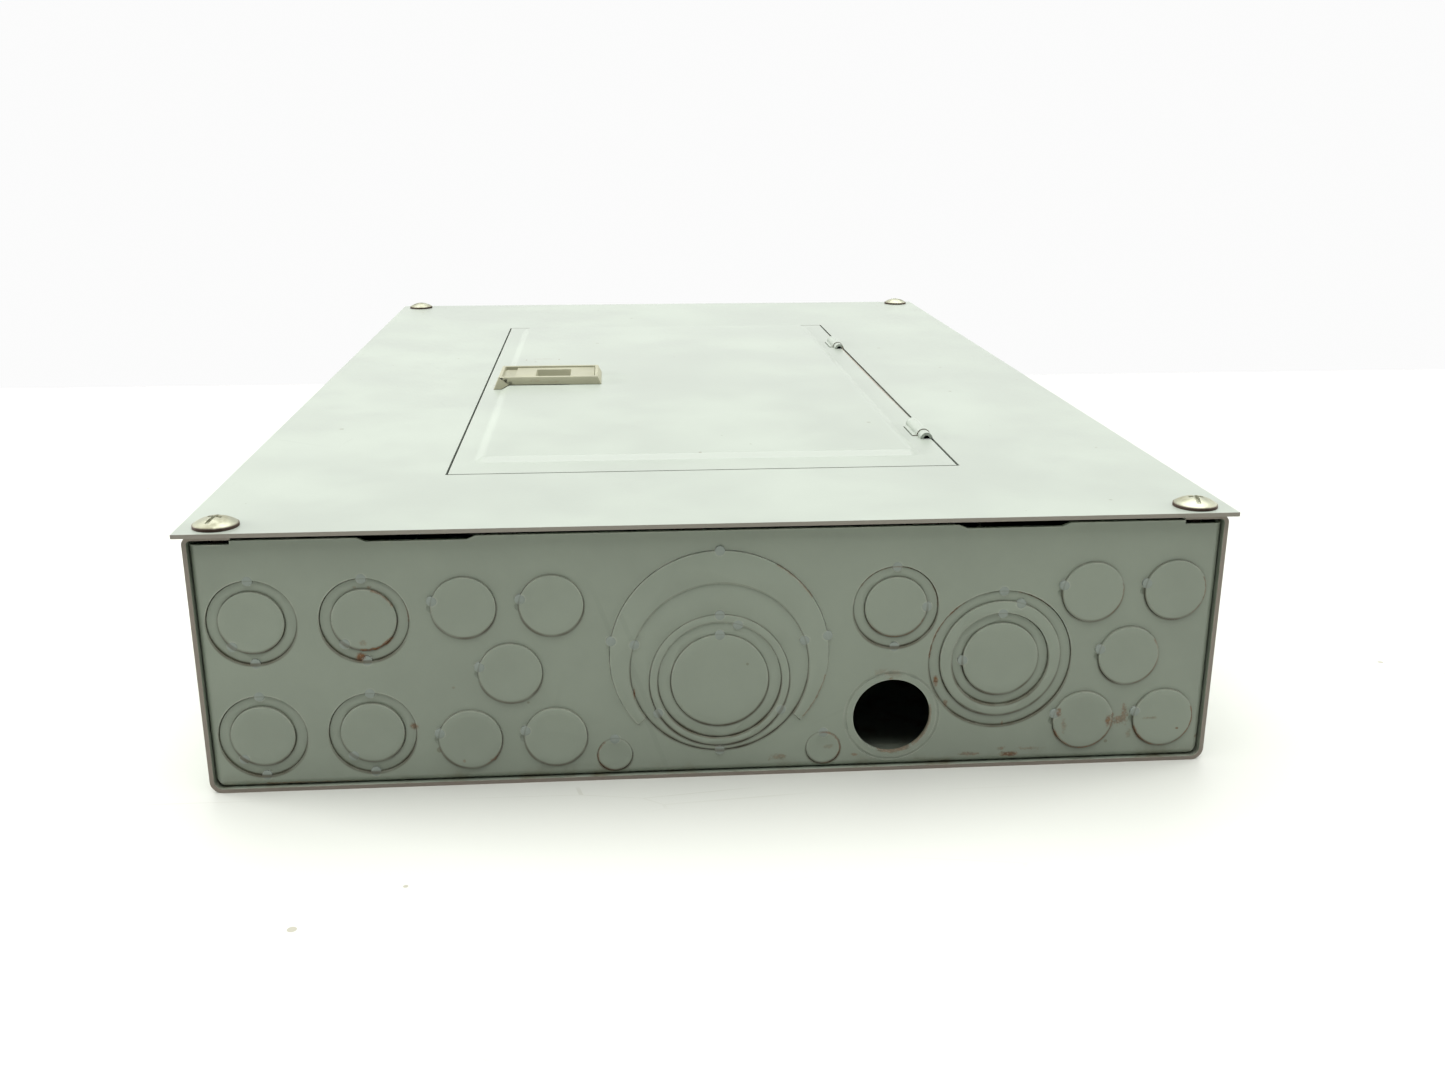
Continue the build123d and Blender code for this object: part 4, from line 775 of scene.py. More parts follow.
def neck_hole(latch, grow):
    """The corners of the slot that the slide's block moves in, grown on each side."""
    travel = JOINTS["latch_travel"]["range_m"]
    reach = travel[1] - travel[0]
    middle = thumb_middle(latch) - Vector((reach / 2, 0))
    across = latch.thumb_length / 2 + latch.thumb_wall + latch.gap + reach / 2 + grow
    along = latch.thumb_width / 2 + latch.thumb_wall + latch.gap + grow
    half = Vector((across, along))
    return middle - half, middle + half


def middle_of(part):
    """The middle of a face, an edge or a point."""
    points = getattr(part, "verts", [part])
    return sum((point.co for point in points), Vector()) / len(points)


def edit(piece, kind, test):
    """Opens a piece with only the faces, edges or points that pass the test selected."""
    hold(piece)
    bpy.ops.object.mode_set(mode="EDIT")
    bpy.ops.mesh.select_mode(type=kind)
    bpy.ops.mesh.select_all(action="DESELECT")
    mesh = bmesh.from_edit_mesh(piece.data)
    for part in {"VERT": mesh.verts, "EDGE": mesh.edges, "FACE": mesh.faces}[kind]:
        if test(part):
            part.select_set(True)
    mesh.select_flush_mode()
    bmesh.update_edit_mesh(piece.data)


def facing(direction, least=0.9):
    """A test for faces that look in a direction."""
    direction = Vector(direction)
    return lambda face: face.normal.dot(direction) > least


def close_edit():
    """Goes back to object mode."""
    bpy.ops.object.mode_set(mode="OBJECT")


def modify(piece, kind, **settings):
    """Adds a modifier and applies it."""
    hold(piece)
    modifier = piece.modifiers.new(kind.lower(), kind)
    for name, value in settings.items():
        setattr(modifier, name, value)
    bpy.ops.object.modifier_apply(modifier=modifier.name)


def carve(piece, cutter, operation="DIFFERENCE"):
    """Takes a cutter out of a piece, or joins it on, and removes the cutter."""
    modify(piece, "BOOLEAN", object=cutter, operation=operation, solver="EXACT")
    bpy.data.objects.remove(cutter)


def soften(piece, width, segments=3, angle=30):
    """Rounds the edges sharper than an angle and shades the piece smooth between them."""
    modify(
        piece, "BEVEL", width=width, segments=segments, limit_method="ANGLE",
        angle_limit=math.radians(angle), use_clamp_overlap=True, harden_normals=False,
    )
    hold(piece)
    bpy.ops.object.shade_smooth_by_angle(angle=math.radians(40))


def turn(angle, axis):
    """Turns what is selected about the origin, anticlockwise seen from the axis's end.

    With no window the operator turns the other way, so it is given the angle the other way round.
    """
    bpy.ops.transform.rotate(value=-angle, orient_axis=axis, center_override=(0, 0, 0))


def copy_of(piece, name):
    """A copy with its own mesh."""
    hold(piece)
    bpy.ops.object.duplicate(linked=False)
    made = bpy.context.object
    made.name = name
    made.data.name = name
    return made


def join(pieces, name):
    """Makes several pieces one."""
    hold(*pieces)
    bpy.ops.object.join()
    joined = bpy.context.object
    joined.name = name
    joined.data.name = name
    return joined


def tidy_mesh(piece):
    """Merges doubles and turns the faces outwards."""
    edit(piece, "FACE", lambda face: True)
    bpy.ops.mesh.remove_doubles(threshold=1e-6)
    bpy.ops.mesh.normals_make_consistent(inside=False)
    close_edit()


def fit(piece, body, nodes, material):
    """Gives a finished piece its material and its body, and hides the CAD nodes that it stands for."""
    piece.data.materials.clear()
    piece.data.materials.append(material)
    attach(piece, body)
    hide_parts(*nodes)


def finished(name, maker, *given, **more):
    """A material by name, made the first time it is asked for."""
    return bpy.data.materials.get(name) or maker(name, *given, **more)


# ================================================================ operators
class LOADCENTER_OT_box(bpy.types.Operator):
    """Paint the sheet that wraps the back and the sides"""

    bl_idname = "load_center.box"
    bl_label = "Box"

    def execute(self, context):
        paint = context.scene.load_center_paint
        # The box enamel is darker than the cover's though it is the same paint: painted shade.
        coat(["enclosure_wrap"], finished("box_enamel_shaded", enamel, paint.box, low_dirt=0.01, ends=0.9))
        return {"FINISHED"}


class LOADCENTER_OT_end_walls(bpy.types.Operator):
    """Press the knockouts into both end walls, and paint the walls with their rust, seam dirt and painted shade"""

    bl_idname = "load_center.end_walls"
    bl_label = "End walls"

    # How finely a disc is cut, the rings that dish it, and the least angle that stays sharp on the wall.
    sides = 88
    dish_steps = 3
    crease = math.radians(12)

    # Rust and dirt on the lower wall, in mm: x, z, reach across, reach up, raggedness and strength.
    marks = (
        (-125, 50, 2.2, 1.8, 0.5, 1.0),
        (-124, 55.5, 1.6, 1.4, 0.4, 0.35),
        (-120.5, 75.5, 1.0, 0.8, 0.5, 0.55),
        (-125.5, 75.5, 0.8, 0.7, 0.5, 0.4),
        (-108.5, 23, 1.5, 1.5, 0.5, 0.75),
        (-94, 37.5, 0.7, 0.6, 0.4, 0.35),
        (-81, 9.5, 1.5, 0.9, 0.5, 0.6),
        (-91.5, 9.5, 0.8, 0.8, 0.5, 0.45),
        (-30.5, 33.5, 0.55, 2.6, 0.3, 0.95),
        (61.5, 38, 6.0, 2.0, 0.7, 0.3),
        (62, 36, 1.2, 0.7, 0.5, 0.7),
        (78.5, 34.5, 1.3, 2.8, 0.25, 1.0),
        (82.5, 25.5, 1.1, 1.8, 0.6, 0.65),
        (49.5, 6.5, 1.4, 0.7, 0.5, 0.6),
        (39.5, 10, 2.4, 1.0, 0.8, 0.3),
        (104, 17, 0.5, 1.2, 0.3, 0.5),
        (21, 6.5, 3.4, 1.5, 0.8, 0.5),
        (92, 5, 5.5, 0.9, 0.9, 0.55),
        (107, 4.5, 3.8, 1.5, 0.5, 0.9),
        (104, 7, 2.4, 0.9, 0.8, 0.55),
        (115, 6.5, 4.6, 0.9, 0.9, 0.45),
        (124.5, 21, 1.3, 2.0, 0.6, 0.7),
        (127, 16, 1.4, 3.4, 0.9, 0.4),
        (143.5, 17, 1.3, 2.8, 0.5, 0.85),
        (148, 17, 3.0, 2.6, 0.9, 0.6),
        (149.5, 21.5, 1.4, 2.2, 0.9, 0.6),
        (160, 17.5, 3.0, 0.6, 0.9, 0.4),
        (170, 13, 0.9, 0.6, 0.4, 0.8),
        (152, 11.5, 1.2, 2.0, 0.9, 0.35),
        (178.5, 9, 1.6, 0.8, 0.9, 0.5),
        (-150, 2.4, 32.0, 0.8, 0.5, 0.6),
    )

    # Rust along the seams: x, z and radius of the ring in mm, the stain's middle and half
    # its sweep in degrees, its width in mm and its strength.
    stains = (
        (-123, 63.65, 11.1, 292, 34, 0.75, 0.95),
        (-123, 63.65, 11.1, 50, 26, 0.4, 0.6),
        (-123, 63.65, 15.1, 10, 16, 0.3, 0.5),
        (-88.9, 17.5, 11.1, 312, 22, 0.4, 0.6),
        (-37.8, 9.5, 6.2, 195, 75, 0.45, 0.55),
        (37.8, 9.5, 6.2, 0, 110, 0.45, 0.6),
        (0, 47.1, 38.9, 334, 14, 0.4, 0.6),
        (0, 47.1, 38.9, 46, 14, 0.35, 0.5),
        (62.7, 63.4, 15.1, 75, 80, 0.35, 0.45),
        (62.7, 63.4, 11.1, 272, 70, 0.45, 0.5),
        (62.7, 21.4, 14.2, 340, 38, 0.6, 0.55),
        (62.7, 21.4, 14.2, 275, 26, 0.8, 0.6),
        (101.6, 42.4, 26.0, 150, 30, 0.45, 0.75),
        (101.6, 42.4, 26.0, 63, 16, 0.4, 0.5),
        (133.9, 17.5, 11.1, 270, 75, 0.55, 0.8),
        (133.9, 17.5, 11.1, 355, 18, 0.9, 0.6),
        (164.1, 17.5, 11.1, 338, 48, 0.5, 0.85),
        (164.1, 17.5, 11.1, 235, 42, 0.5, 0.7),
        (133.9, 67.3, 11.1, 340, 40, 0.4, 0.5),
        (164.1, 67.3, 11.1, 345, 45, 0.4, 0.6),
        (149, 42.4, 11.1, 340, 60, 0.4, 0.55),
    )

    def execute(self, context):
        paint = context.scene.load_center_paint
        sizes = context.scene.load_center_knockouts
        self.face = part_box("lower_end_wall")[0].y
        rust = [
            (Vector((x * MM, self.face, z * MM)), (wide * MM, 4 * MM, tall * MM), ragged, strength)
            for x, z, wide, tall, ragged, strength in self.marks
        ]
        # The rings whose seams get dirt and painted shadow under each proud disc, moved with the disc's lift.
        seams = [
            (x, z + math.copysign(sizes.lift, proud), radius + 3 * sizes.seam)
            for stack in self.stacks(sizes)
            for x, z, radius, proud, ties in stack
        ]
        # Both walls take the box enamel, darker than the cover's as painted shade, with painted shadow under the
        # discs' rings.
        skins = {
            "lower_end_wall": finished(
                "lower_wall_enamel_shaded", enamel, paint.box, rust, low_dirt=0.008, seams=self.stains, wear=0.35,
                ties=True, rings=seams,
            ),
            "upper_end_wall": finished(
                "upper_wall_enamel_shaded", enamel, paint.box, low_dirt=0.008, wear=0.35, ties=True,
                rings=[(-x, z, radius) for x, z, radius in seams],
            ),
        }
        pressed = join(self.knockouts(sizes), "knockouts")
        for node, skin in skins.items():
            turned = node == "upper_end_wall"
            wall = self.merged_copy(node)
            carve(wall, self.turned(join(self.openings(sizes, turned), "openings"), turned))
            ring = self.crescent(sizes, 0.0, 4 * sizes.wall, -sizes.seam, -5 * sizes.seam, 0.0)
            carve(wall, self.turned(ring, turned))
            parts = [copy_of(pressed, "knockouts_copy")]
            if turned:
                parts.append(
                    self.disc(sizes, sizes.pair_x, sizes.height - sizes.pair_step_z, sizes.hole, 0.6)
                )
            discs = self.turned(join(parts, "knockouts_copy"), turned)
            hold(wall)
            bpy.ops.object.shade_smooth_by_angle(angle=self.crease)
            fit(join([wall, discs], f"pressed_{node}"), "enclosure", [node], skin)
        bpy.data.objects.remove(pressed)
        return {"FINISHED"}

    def merged_copy(self, node):
        """A copy of a node's mesh with its loose triangles merged."""
        wall = bpy.data.objects.new(f"pressed_{node}", frame["nodes"][node].data.copy())
        bpy.context.scene.collection.objects.link(wall)
        edit(wall, "VERT", lambda point: True)
        bpy.ops.mesh.remove_doubles(threshold=1e-6)
        close_edit()
        bpy.ops.mesh.customdata_custom_splitnormals_clear()
        return wall

    def turned(self, piece, turned):
        """The piece as it stands, or turned half round for the upper wall."""
        if turned:
            hold(piece)
            turn(math.pi, "Z")
            settle(piece)
        return piece

    def stacks(self, sizes):
        """Every knockout without the nest's open ring, as the rings of each one from the outside in.

        A ring is x, z, radius, how far it stands proud in presses, and its tie angles.
        """
        middle = sizes.height
        stacks = []
        for x in (-1, 1):
            for z in (-1, 1):
                place = (sizes.double_x + x * sizes.double_step_x, middle + z * sizes.double_step_z)
                stacks.append(
                    [(*place, sizes.three_quarter, -0.6, (90, 270)), (*place, sizes.half_inch, 0.4, (230,))]
                )
        pair = (sizes.pair_x, middle + sizes.pair_step_z)
        stacks.append([(*pair, sizes.three_quarter, -0.45, (90, 270)), (*pair, sizes.half_inch, 0.5, (0,))])
        for x in (sizes.left_five_x, sizes.right_five_x):
            places = [(x, middle)]
            places += [
                (x + across * sizes.five_step_x, middle + up * sizes.five_step_z)
                for across in (-1, 1) for up in (-1, 1)
            ]
            stacks += [[(*place, sizes.half_inch, 1.0, (165,))] for place in places]
        nest = zip(
            sizes.nest_radii,
            sizes.nest_heights,
            (0.7, 0.15, 0.6, 0.3),
            ((90,), (73,), (90, 208, 332), (18, 162, 270)),
        )
        stacks.append([(0.0, z, radius, proud, ties) for radius, z, proud, ties in nest][::-1])
        for x in (-sizes.small_x, sizes.small_x):
            stacks.append([(x, sizes.small_z, sizes.small, 0.15, (90,))])
        quad = zip(sizes.quad_radii, (0.45, -0.5, 0.35, -0.5), (180, 90, 73, 90))
        stacks.append([(sizes.quad_x, middle, radius, proud, (tie,)) for radius, proud, tie in quad][::-1])
        return stacks

    def knockouts(self, sizes):
        """The discs and rings of every knockout, and the ties across their seams."""
        parts = [
            self.crescent(sizes, 0.7 * sizes.press, sizes.wall, sizes.seam, 2 * sizes.seam, 5 * sizes.seam)
        ]
        for angle in (9.5, 90, 170.5):
            ring = (0.0, sizes.nest_heights[-1], sizes.nest_radii[-1])
            parts.append(self.tie(sizes, *ring, angle, 0.7 * sizes.press))
        for stack in self.stacks(sizes):
            outside = 0.7 if stack[0][2] == sizes.nest_radii[3] else 0.0
            for ring, inner in zip(stack, stack[1:] + [None]):
                x, z, radius, proud, ties = ring
                parts.append(self.disc(sizes, x, z, radius, proud, inner))
                for angle in ties:
                    parts.append(self.tie(sizes, x, z, radius, angle, max(outside, proud) * sizes.press))
                outside = proud
        return parts

    def disc(self, sizes, x, z, radius, proud, inner=None):
        """A pressed disc, dished a little, or a ring round the next knockout in."""
        front = self.face - proud * sizes.press
        z += math.copysign(sizes.lift, proud)
        made = new_disc(
            "disc", (x, front + sizes.wall / 2, z), radius + sizes.seam, sizes.wall, "Y", self.sides
        )
        if inner:
            across, up, reach = inner[:3]
            bore = new_disc(
                "bore", (across, front, up), reach + 3 * sizes.seam, 4 * sizes.wall, "Y", self.sides
            )
            carve(made, bore)
        else:
            rim = 1.0
            for step in range(1, self.dish_steps + 1):
                edit(made, "FACE", lambda face: face.normal.y < -0.9 and len(face.verts) == self.sides)
                next_rim = 1 - step / (self.dish_steps + 1)
                drop = sizes.dish * (rim**2 - next_rim**2)
                bpy.ops.mesh.inset(thickness=(rim - next_rim) * radius, depth=-drop)
                close_edit()
                rim = next_rim
        soften(made, sizes.edge, 2, 60)
        return made

    def tie(self, sizes, x, z, radius, angle, level):
        """The small flattened spot where a ring is still joined to what is round it."""
        angle = math.radians(angle)
        place = (
            x + radius * math.cos(angle),
            self.face - level + sizes.wall / 2 - 0.04 * MM,
            z + radius * math.sin(angle),
        )
        spot = new_disc("tie", place, sizes.tie, sizes.wall, "Y", 24)
        soften(spot, sizes.edge, 2)
        shade = spot.data.attributes.new("tie", "FLOAT", "POINT")
        shade.data.foreach_set("value", [1.0] * len(spot.data.vertices))
        return spot

    def crescent(self, sizes, level, depth, outside, inside, ends):
        """The nest's open outer ring, round the ring inside it and ending in two short steps.

        outside and inside are how much its two radii grow, and ends is the gap left at the steps.
        """
        height, radius = sizes.nest_heights[4], sizes.nest_radii[4]
        front = self.face - level
        middle = front + sizes.wall / 2
        made = new_disc("crescent", (0, middle, height), radius + outside, depth, "Y", 160)
        inner = (0, middle, sizes.nest_heights[3])
        carve(made, new_disc("bore", inner, sizes.nest_radii[3] + inside, 2 * depth, "Y", 160))
        wide = 2 * radius * sizes.nest_open
        apex = height + ends
        wedge = new_block("wedge", (-wide, middle - depth, apex - 2 * radius), (wide, middle + depth, apex))
        edit(wedge, "FACE", facing((0, 0, 1)))
        bpy.ops.transform.resize(value=(1e-4, 1, 1), center_override=(0, 0, apex))
        close_edit()
        carve(made, wedge)
        if ends:
            soften(made, sizes.edge, 2, 60)
        return made

    def openings(self, sizes, turned):
        """What is taken out of the sheet for each knockout that is set into it."""
        rings = [stack[0] for stack in self.stacks(sizes)]
        if turned:
            rings.append((sizes.pair_x, sizes.height - sizes.pair_step_z, sizes.hole))
        return [
            new_disc("opening", (ring[0], self.face, ring[1]), ring[2] - sizes.seam, 4 * sizes.wall, "Y", 96)
            for ring in rings
        ]


class LOADCENTER_OT_cover(bpy.types.Operator):
    """Paint the cover and the dead front"""

    bl_idname = "load_center.cover"
    bl_label = "Cover and dead front"

    def execute(self, context):
        paint = context.scene.load_center_paint
        coat(
            ["cover_plate", "dead_front"], finished("cover_enamel", enamel, paint.cover, wear=0.15, ends=0.75)
        )
        return {"FINISHED"}


class LOADCENTER_OT_cover_screws(bpy.types.Operator):
    """Model the four slotted cover screws"""

    bl_idname = "load_center.cover_screws"
    bl_label = "Cover screws"

    # The slots' directions, in degrees.
    turns = (74, 28, 80, -35)

    def execute(self, context):
        sizes = context.scene.load_center_screws
        low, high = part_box("cover_screws")
        seat = high.z - sizes.rise - sizes.rim
        screw = new_disc("cover_screw", (0, 0, seat + sizes.rim / 2), sizes.head, sizes.rim)
        dome = (sizes.head**2 + sizes.rise**2) / (2 * sizes.rise)
        sweep = math.asin(sizes.head / dome)
        radius, height = sizes.head, 0.0
        for step in range(1, sizes.steps):
            angle = sweep * (1 - step / sizes.steps)
            next_radius = dome * math.sin(angle)
            next_height = dome * (math.cos(angle) - math.cos(sweep))
            edit(screw, "FACE", lambda face: face.normal.z > 0.9 and middle_of(face).xy.length < 1e-6)
            bpy.ops.mesh.inset(thickness=radius - next_radius, depth=next_height - height)
            close_edit()
            radius, height = next_radius, next_height
        edit(screw, "FACE", facing((0, 0, -1)))
        bpy.ops.mesh.inset(thickness=sizes.head - sizes.shank)
        bpy.ops.mesh.extrude_region_move(TRANSFORM_OT_translate={"value": (0, 0, low.z - seat)})
        close_edit()
        top = high.z
        cutter = new_block(
            "slot_cutter",
            (-2 * sizes.head, -sizes.slot / 2, top - sizes.slot_depth),
            (2 * sizes.head, sizes.slot / 2, top + sizes.rise),
        )
        carve(screw, cutter)
        cross = new_block(
            "cross_cutter",
            (-sizes.slot / 2, -sizes.cross, top - sizes.slot_depth),
            (sizes.slot / 2, sizes.cross, top + sizes.rise),
        )
        carve(screw, cross)
        soften(screw, 0.18 * MM, 2)
        xs = (low.x + sizes.head, high.x - sizes.head)
        ys = (low.y + sizes.head, high.y - sizes.head)
        screws = []
        for (x, y), angle in zip([(x, y) for x in xs for y in ys], self.turns):
            made = copy_of(screw, "cover_screw_copy")
            turn(math.radians(angle), "Z")
            bpy.ops.transform.translate(value=(x, y, 0))
            screws.append(settle(made))
        bpy.data.objects.remove(screw)
        metals = context.scene.load_center_metals
        zinc = finished(
            "zinc_yellow", bare_metal, metals.zinc, rough=0.45, brushed=(
                1, 1, 1
            ), tarnish=0.6, rim=seat + sizes.rim, pitted=0.2,
        )
        fit(join(screws, "slotted_cover_screws"), "enclosure", ["cover_screws"], zinc)
        return {"FINISHED"}


class LOADCENTER_OT_door(bpy.types.Operator):
    """Press the door, with its raised panel and its hinge knuckles"""

    bl_idname = "load_center.door"
    bl_label = "Door"

    # The least angle that stays sharp on the sheet.
    crease = math.radians(28)

    def execute(self, context):
        sizes = context.scene.load_center_door
        latch = context.scene.load_center_latch
        low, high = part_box("door_panel")
        pin = Vector(JOINTS["door_swing"]["pos_m"])
        top = low.z + sizes.sheet
        right = pin.x + sizes.past_pin
        door = new_sheet("pressed_door", *panel_outline(sizes), top)
        edit(door, "VERT", lambda point: True)
        bpy.ops.mesh.bevel(offset=sizes.corner, segments=8, affect="VERTICES")
        bpy.ops.mesh.select_mode(type="FACE")
        bpy.ops.mesh.select_all(action="SELECT")
        bpy.ops.mesh.inset(thickness=sizes.slope, depth=sizes.rise)
        close_edit()
        outline = new_sheet("door_outline", low.xy, Vector((right, high.y)), top)
        edit(outline, "FACE", lambda face: True)
        bpy.ops.mesh.delete(type="ONLY_FACE")
        close_edit()
        door = join([door, outline], "pressed_door")
        edit(door, "EDGE", lambda edge: len(edge.link_faces) < 2)
        bpy.ops.mesh.fill(use_beauty=True)
        bpy.ops.mesh.select_all(action="SELECT")
        bpy.ops.mesh.normals_make_consistent(inside=False)
        close_edit()
        edit(door, "EDGE", lambda edge: len(edge.link_faces) == 2 and edge.calc_face_angle() > 0.3)
        bpy.ops.mesh.bevel(offset=sizes.bend, segments=4, affect="EDGES")
        close_edit()
        if sum(face.normal.z for face in door.data.polygons) < 0:
            edit(door, "FACE", lambda face: True)
            bpy.ops.mesh.flip_normals()
            close_edit()
        modify(door, "SOLIDIFY", thickness=sizes.sheet, offset=-1, use_even_offset=True)
        self.cut_notches(door, sizes, pin, low, right)
        neck_low, neck_high = neck_hole(latch, latch.thumb_wall + latch.gap)
        carve(
            door, new_block("neck_cutter", (*neck_low, low.z - sizes.rise), (*neck_high, high.z + sizes.rise))
        )
        hold(door)
        bpy.ops.object.shade_smooth_by_angle(angle=self.crease)
        knuckles = self.knuckles(sizes, pin, low)
        door = join([door, *knuckles], "pressed_door")
        paint = context.scene.load_center_paint
        panel_top = top + sizes.rise
        scuffs = (
            (Vector((-0.0745, 0.0405, panel_top)), (8.0 * MM, 0.5 * MM, 4 * MM), 0.2, 0.55),
            (Vector((-0.0835, 0.0375, panel_top)), (0.5 * MM, 2.4 * MM, 4 * MM), 0.2, 0.5),
            (Vector((-0.0655, 0.0385, panel_top)), (0.5 * MM, 1.8 * MM, 4 * MM), 0.2, 0.5),
            (Vector((right, 0.0, top)), (1.1 * MM, 170 * MM, 4 * MM), 0.25, 0.6),
        )
        skin = finished("door_enamel", enamel, paint.cover, scuffs, wear=0.08)
        fit(door, "door", ["door_panel"], skin)
        return {"FINISHED"}

    def pin_middles(self, sizes):
        """Where the hinge tabs are along the door."""
        low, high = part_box("hinge_pins")
        half = sizes.notch / 2 + sizes.pin_seat
        return low.y + half, high.y - half

    def cut_notches(self, door, sizes, pin, low, right):
        """Cuts the room for the cover's hinge tabs and for the pins beside them."""
        bottom, top = low.z - sizes.rise, low.z + 3 * sizes.rise
        far = right + sizes.slope
        for y in self.pin_middles(sizes):
            half = sizes.notch / 2
            carve(
                door, new_block("notch", (pin.x - sizes.notch_reach, y - half, bottom), (far, y + half, top))
            )
            half += sizes.pin_seat
            carve(door, new_block("seat", (pin.x - sizes.seat, y - half, bottom), (far, y + half, top)))

    def knuckles(self, sizes, pin, low):
        """The curls that hold the pins, two at each tab."""
        made = []
        for y in self.pin_middles(sizes):
            for side in (-1, 1):
                middle = y + side * (sizes.notch + sizes.pin_seat) / 2
                curl = new_disc(
                    "knuckle", (pin.x, middle, pin.z), sizes.seat + sizes.sheet, sizes.pin_seat, "Y", 40
                )
                edit(curl, "FACE", lambda face: True)
                bpy.ops.mesh.bisect(
                    plane_co=pin, plane_no=(0, 0, 1), use_fill=True, clear_inner=True, clear_outer=False
                )
                close_edit()
                half = sizes.pin_seat / 2
                leg = new_block(
                    "leg",
                    (pin.x - sizes.seat - sizes.sheet, middle - half, low.z),
                    (pin.x - sizes.seat, middle + half, pin.z),
                )
                carve(curl, leg, "UNION")
                carve(curl, new_disc("bore", pin + Vector((0, middle, 0)), sizes.seat, 3 * half, "Y", 40))
                hold(curl)
                bpy.ops.object.shade_smooth_by_angle(angle=self.crease)
                made.append(curl)
        return made


class LOADCENTER_OT_latch_bezel(bpy.types.Operator):
    """Mould the latch's bezel, with its sloping sides, rim and neck"""

    bl_idname = "load_center.latch_bezel"
    bl_label = "Latch bezel"

    def execute(self, context):
        sizes = context.scene.load_center_latch
        door = context.scene.load_center_door
        low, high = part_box("latch_bezel")
        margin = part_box("door_panel")[0].z + door.sheet
        bezel = new_frustum(
            "moulded_bezel", low.xy, high.xy, margin, high.z, sizes.end_slope, sizes.side_slope
        )
        panel_low, panel_high = panel_outline(door)
        carve(
            bezel,
            new_frustum(
                "panel_form", panel_low, panel_high, margin, margin + door.rise, door.slope, door.slope
            ),
        )
        carve(
            bezel,
            new_block(
                "under_cutter", (low.x + door.margin_left, low.y - 1, low.z - 1), (1, 1, margin - 1e-5)
            ),
        )
        recess_low, recess_high = recess_outline(sizes)
        floor = high.z - sizes.recess
        carve(bezel, new_block("recess_cutter", (*recess_low, floor), (*recess_high, high.z + sizes.recess)))
        neck_low, neck_high = neck_hole(sizes, sizes.thumb_wall)
        carve(bezel, new_block("neck", (*neck_low, low.z), (*neck_high, floor)), "UNION")
        neck_low, neck_high = neck_hole(sizes, 0.0)
        carve(bezel, new_block("neck_cutter", (*neck_low, low.z - sizes.recess), (*neck_high, high.z)))
        soften(bezel, sizes.softness)
        plastics = context.scene.load_center_plastics
        front = Vector(((low.x + high.x) / 2, low.y, high.z))
        smudges = (
            (front + Vector((-6 * MM, 0, -1.6 * MM)), (6 * MM, 1.2 * MM, 1.2 * MM), 0.5, 0.75),
            (front + Vector((3 * MM, 0, -2.4 * MM)), (4 * MM, 1.2 * MM, 1.0 * MM), 0.5, 0.6),
        )
        putty = finished("putty_moulding", moulded, plastics.putty, rough=0.5, stains=smudges)
        fit(bezel, "door", ["latch_bezel"], putty)
        return {"FINISHED"}


class LOADCENTER_OT_latch_slide(bpy.types.Operator):
    """Mould the latch's slide, with its thumb recess and its tongue"""

    bl_idname = "load_center.latch_slide"
    bl_label = "Latch slide"

    def execute(self, context):
        sizes = context.scene.load_center_latch
        low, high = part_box("latch_slide")
        recess_low, recess_high = recess_outline(sizes)
        travel = JOINTS["latch_travel"]["range_m"]
        start = recess_low.x + (travel[1] - travel[0]) + sizes.gap
        plate_low = (start, recess_low.y + sizes.gap, high.z - sizes.plate)
        slide = new_block(
            "moulded_slide", plate_low, (recess_high.x - sizes.gap, recess_high.y - sizes.gap, high.z)
        )
        thumb = thumb_middle(sizes)
        half = Vector((sizes.thumb_length / 2 + sizes.thumb_wall, sizes.thumb_width / 2 + sizes.thumb_wall))
        block = new_block("block", (*(thumb - half), low.z), (*(thumb + half), high.z - sizes.plate / 2))
        carve(slide, block, "UNION")
        keeper = Vector((half.x, (high.y - low.y) / 2))
        carve(
            slide,
            new_block("keeper", (*(thumb - keeper), low.z), (*(thumb + keeper), low.z + sizes.tongue_height)),
            "UNION",
        )
        tongue = sizes.tongue_width / 2
        carve(
            slide,
            new_block(
                "tongue", (low.x, thumb.y - tongue, low.z), (
                    thumb.x, thumb.y + tongue, low.z + sizes.tongue_height
                )
            ),
            "UNION",
        )
        half = Vector((sizes.thumb_length / 2, sizes.thumb_width / 2))
        hollow = new_frustum(
            "thumb_cutter", thumb - half, thumb + half, high.z + sizes.gap, high.z - sizes.thumb_depth,
            1 * MM, 1 * MM,
        )
        tidy_mesh(hollow)
        carve(slide, hollow)
        soften(slide, sizes.softness * 0.7)
        plastics = context.scene.load_center_plastics
        fit(
            slide,
            "latch",
            ["latch_slide"],
            finished("putty_slide", moulded, plastics.putty, rough=0.46),
        )
        return {"FINISHED"}


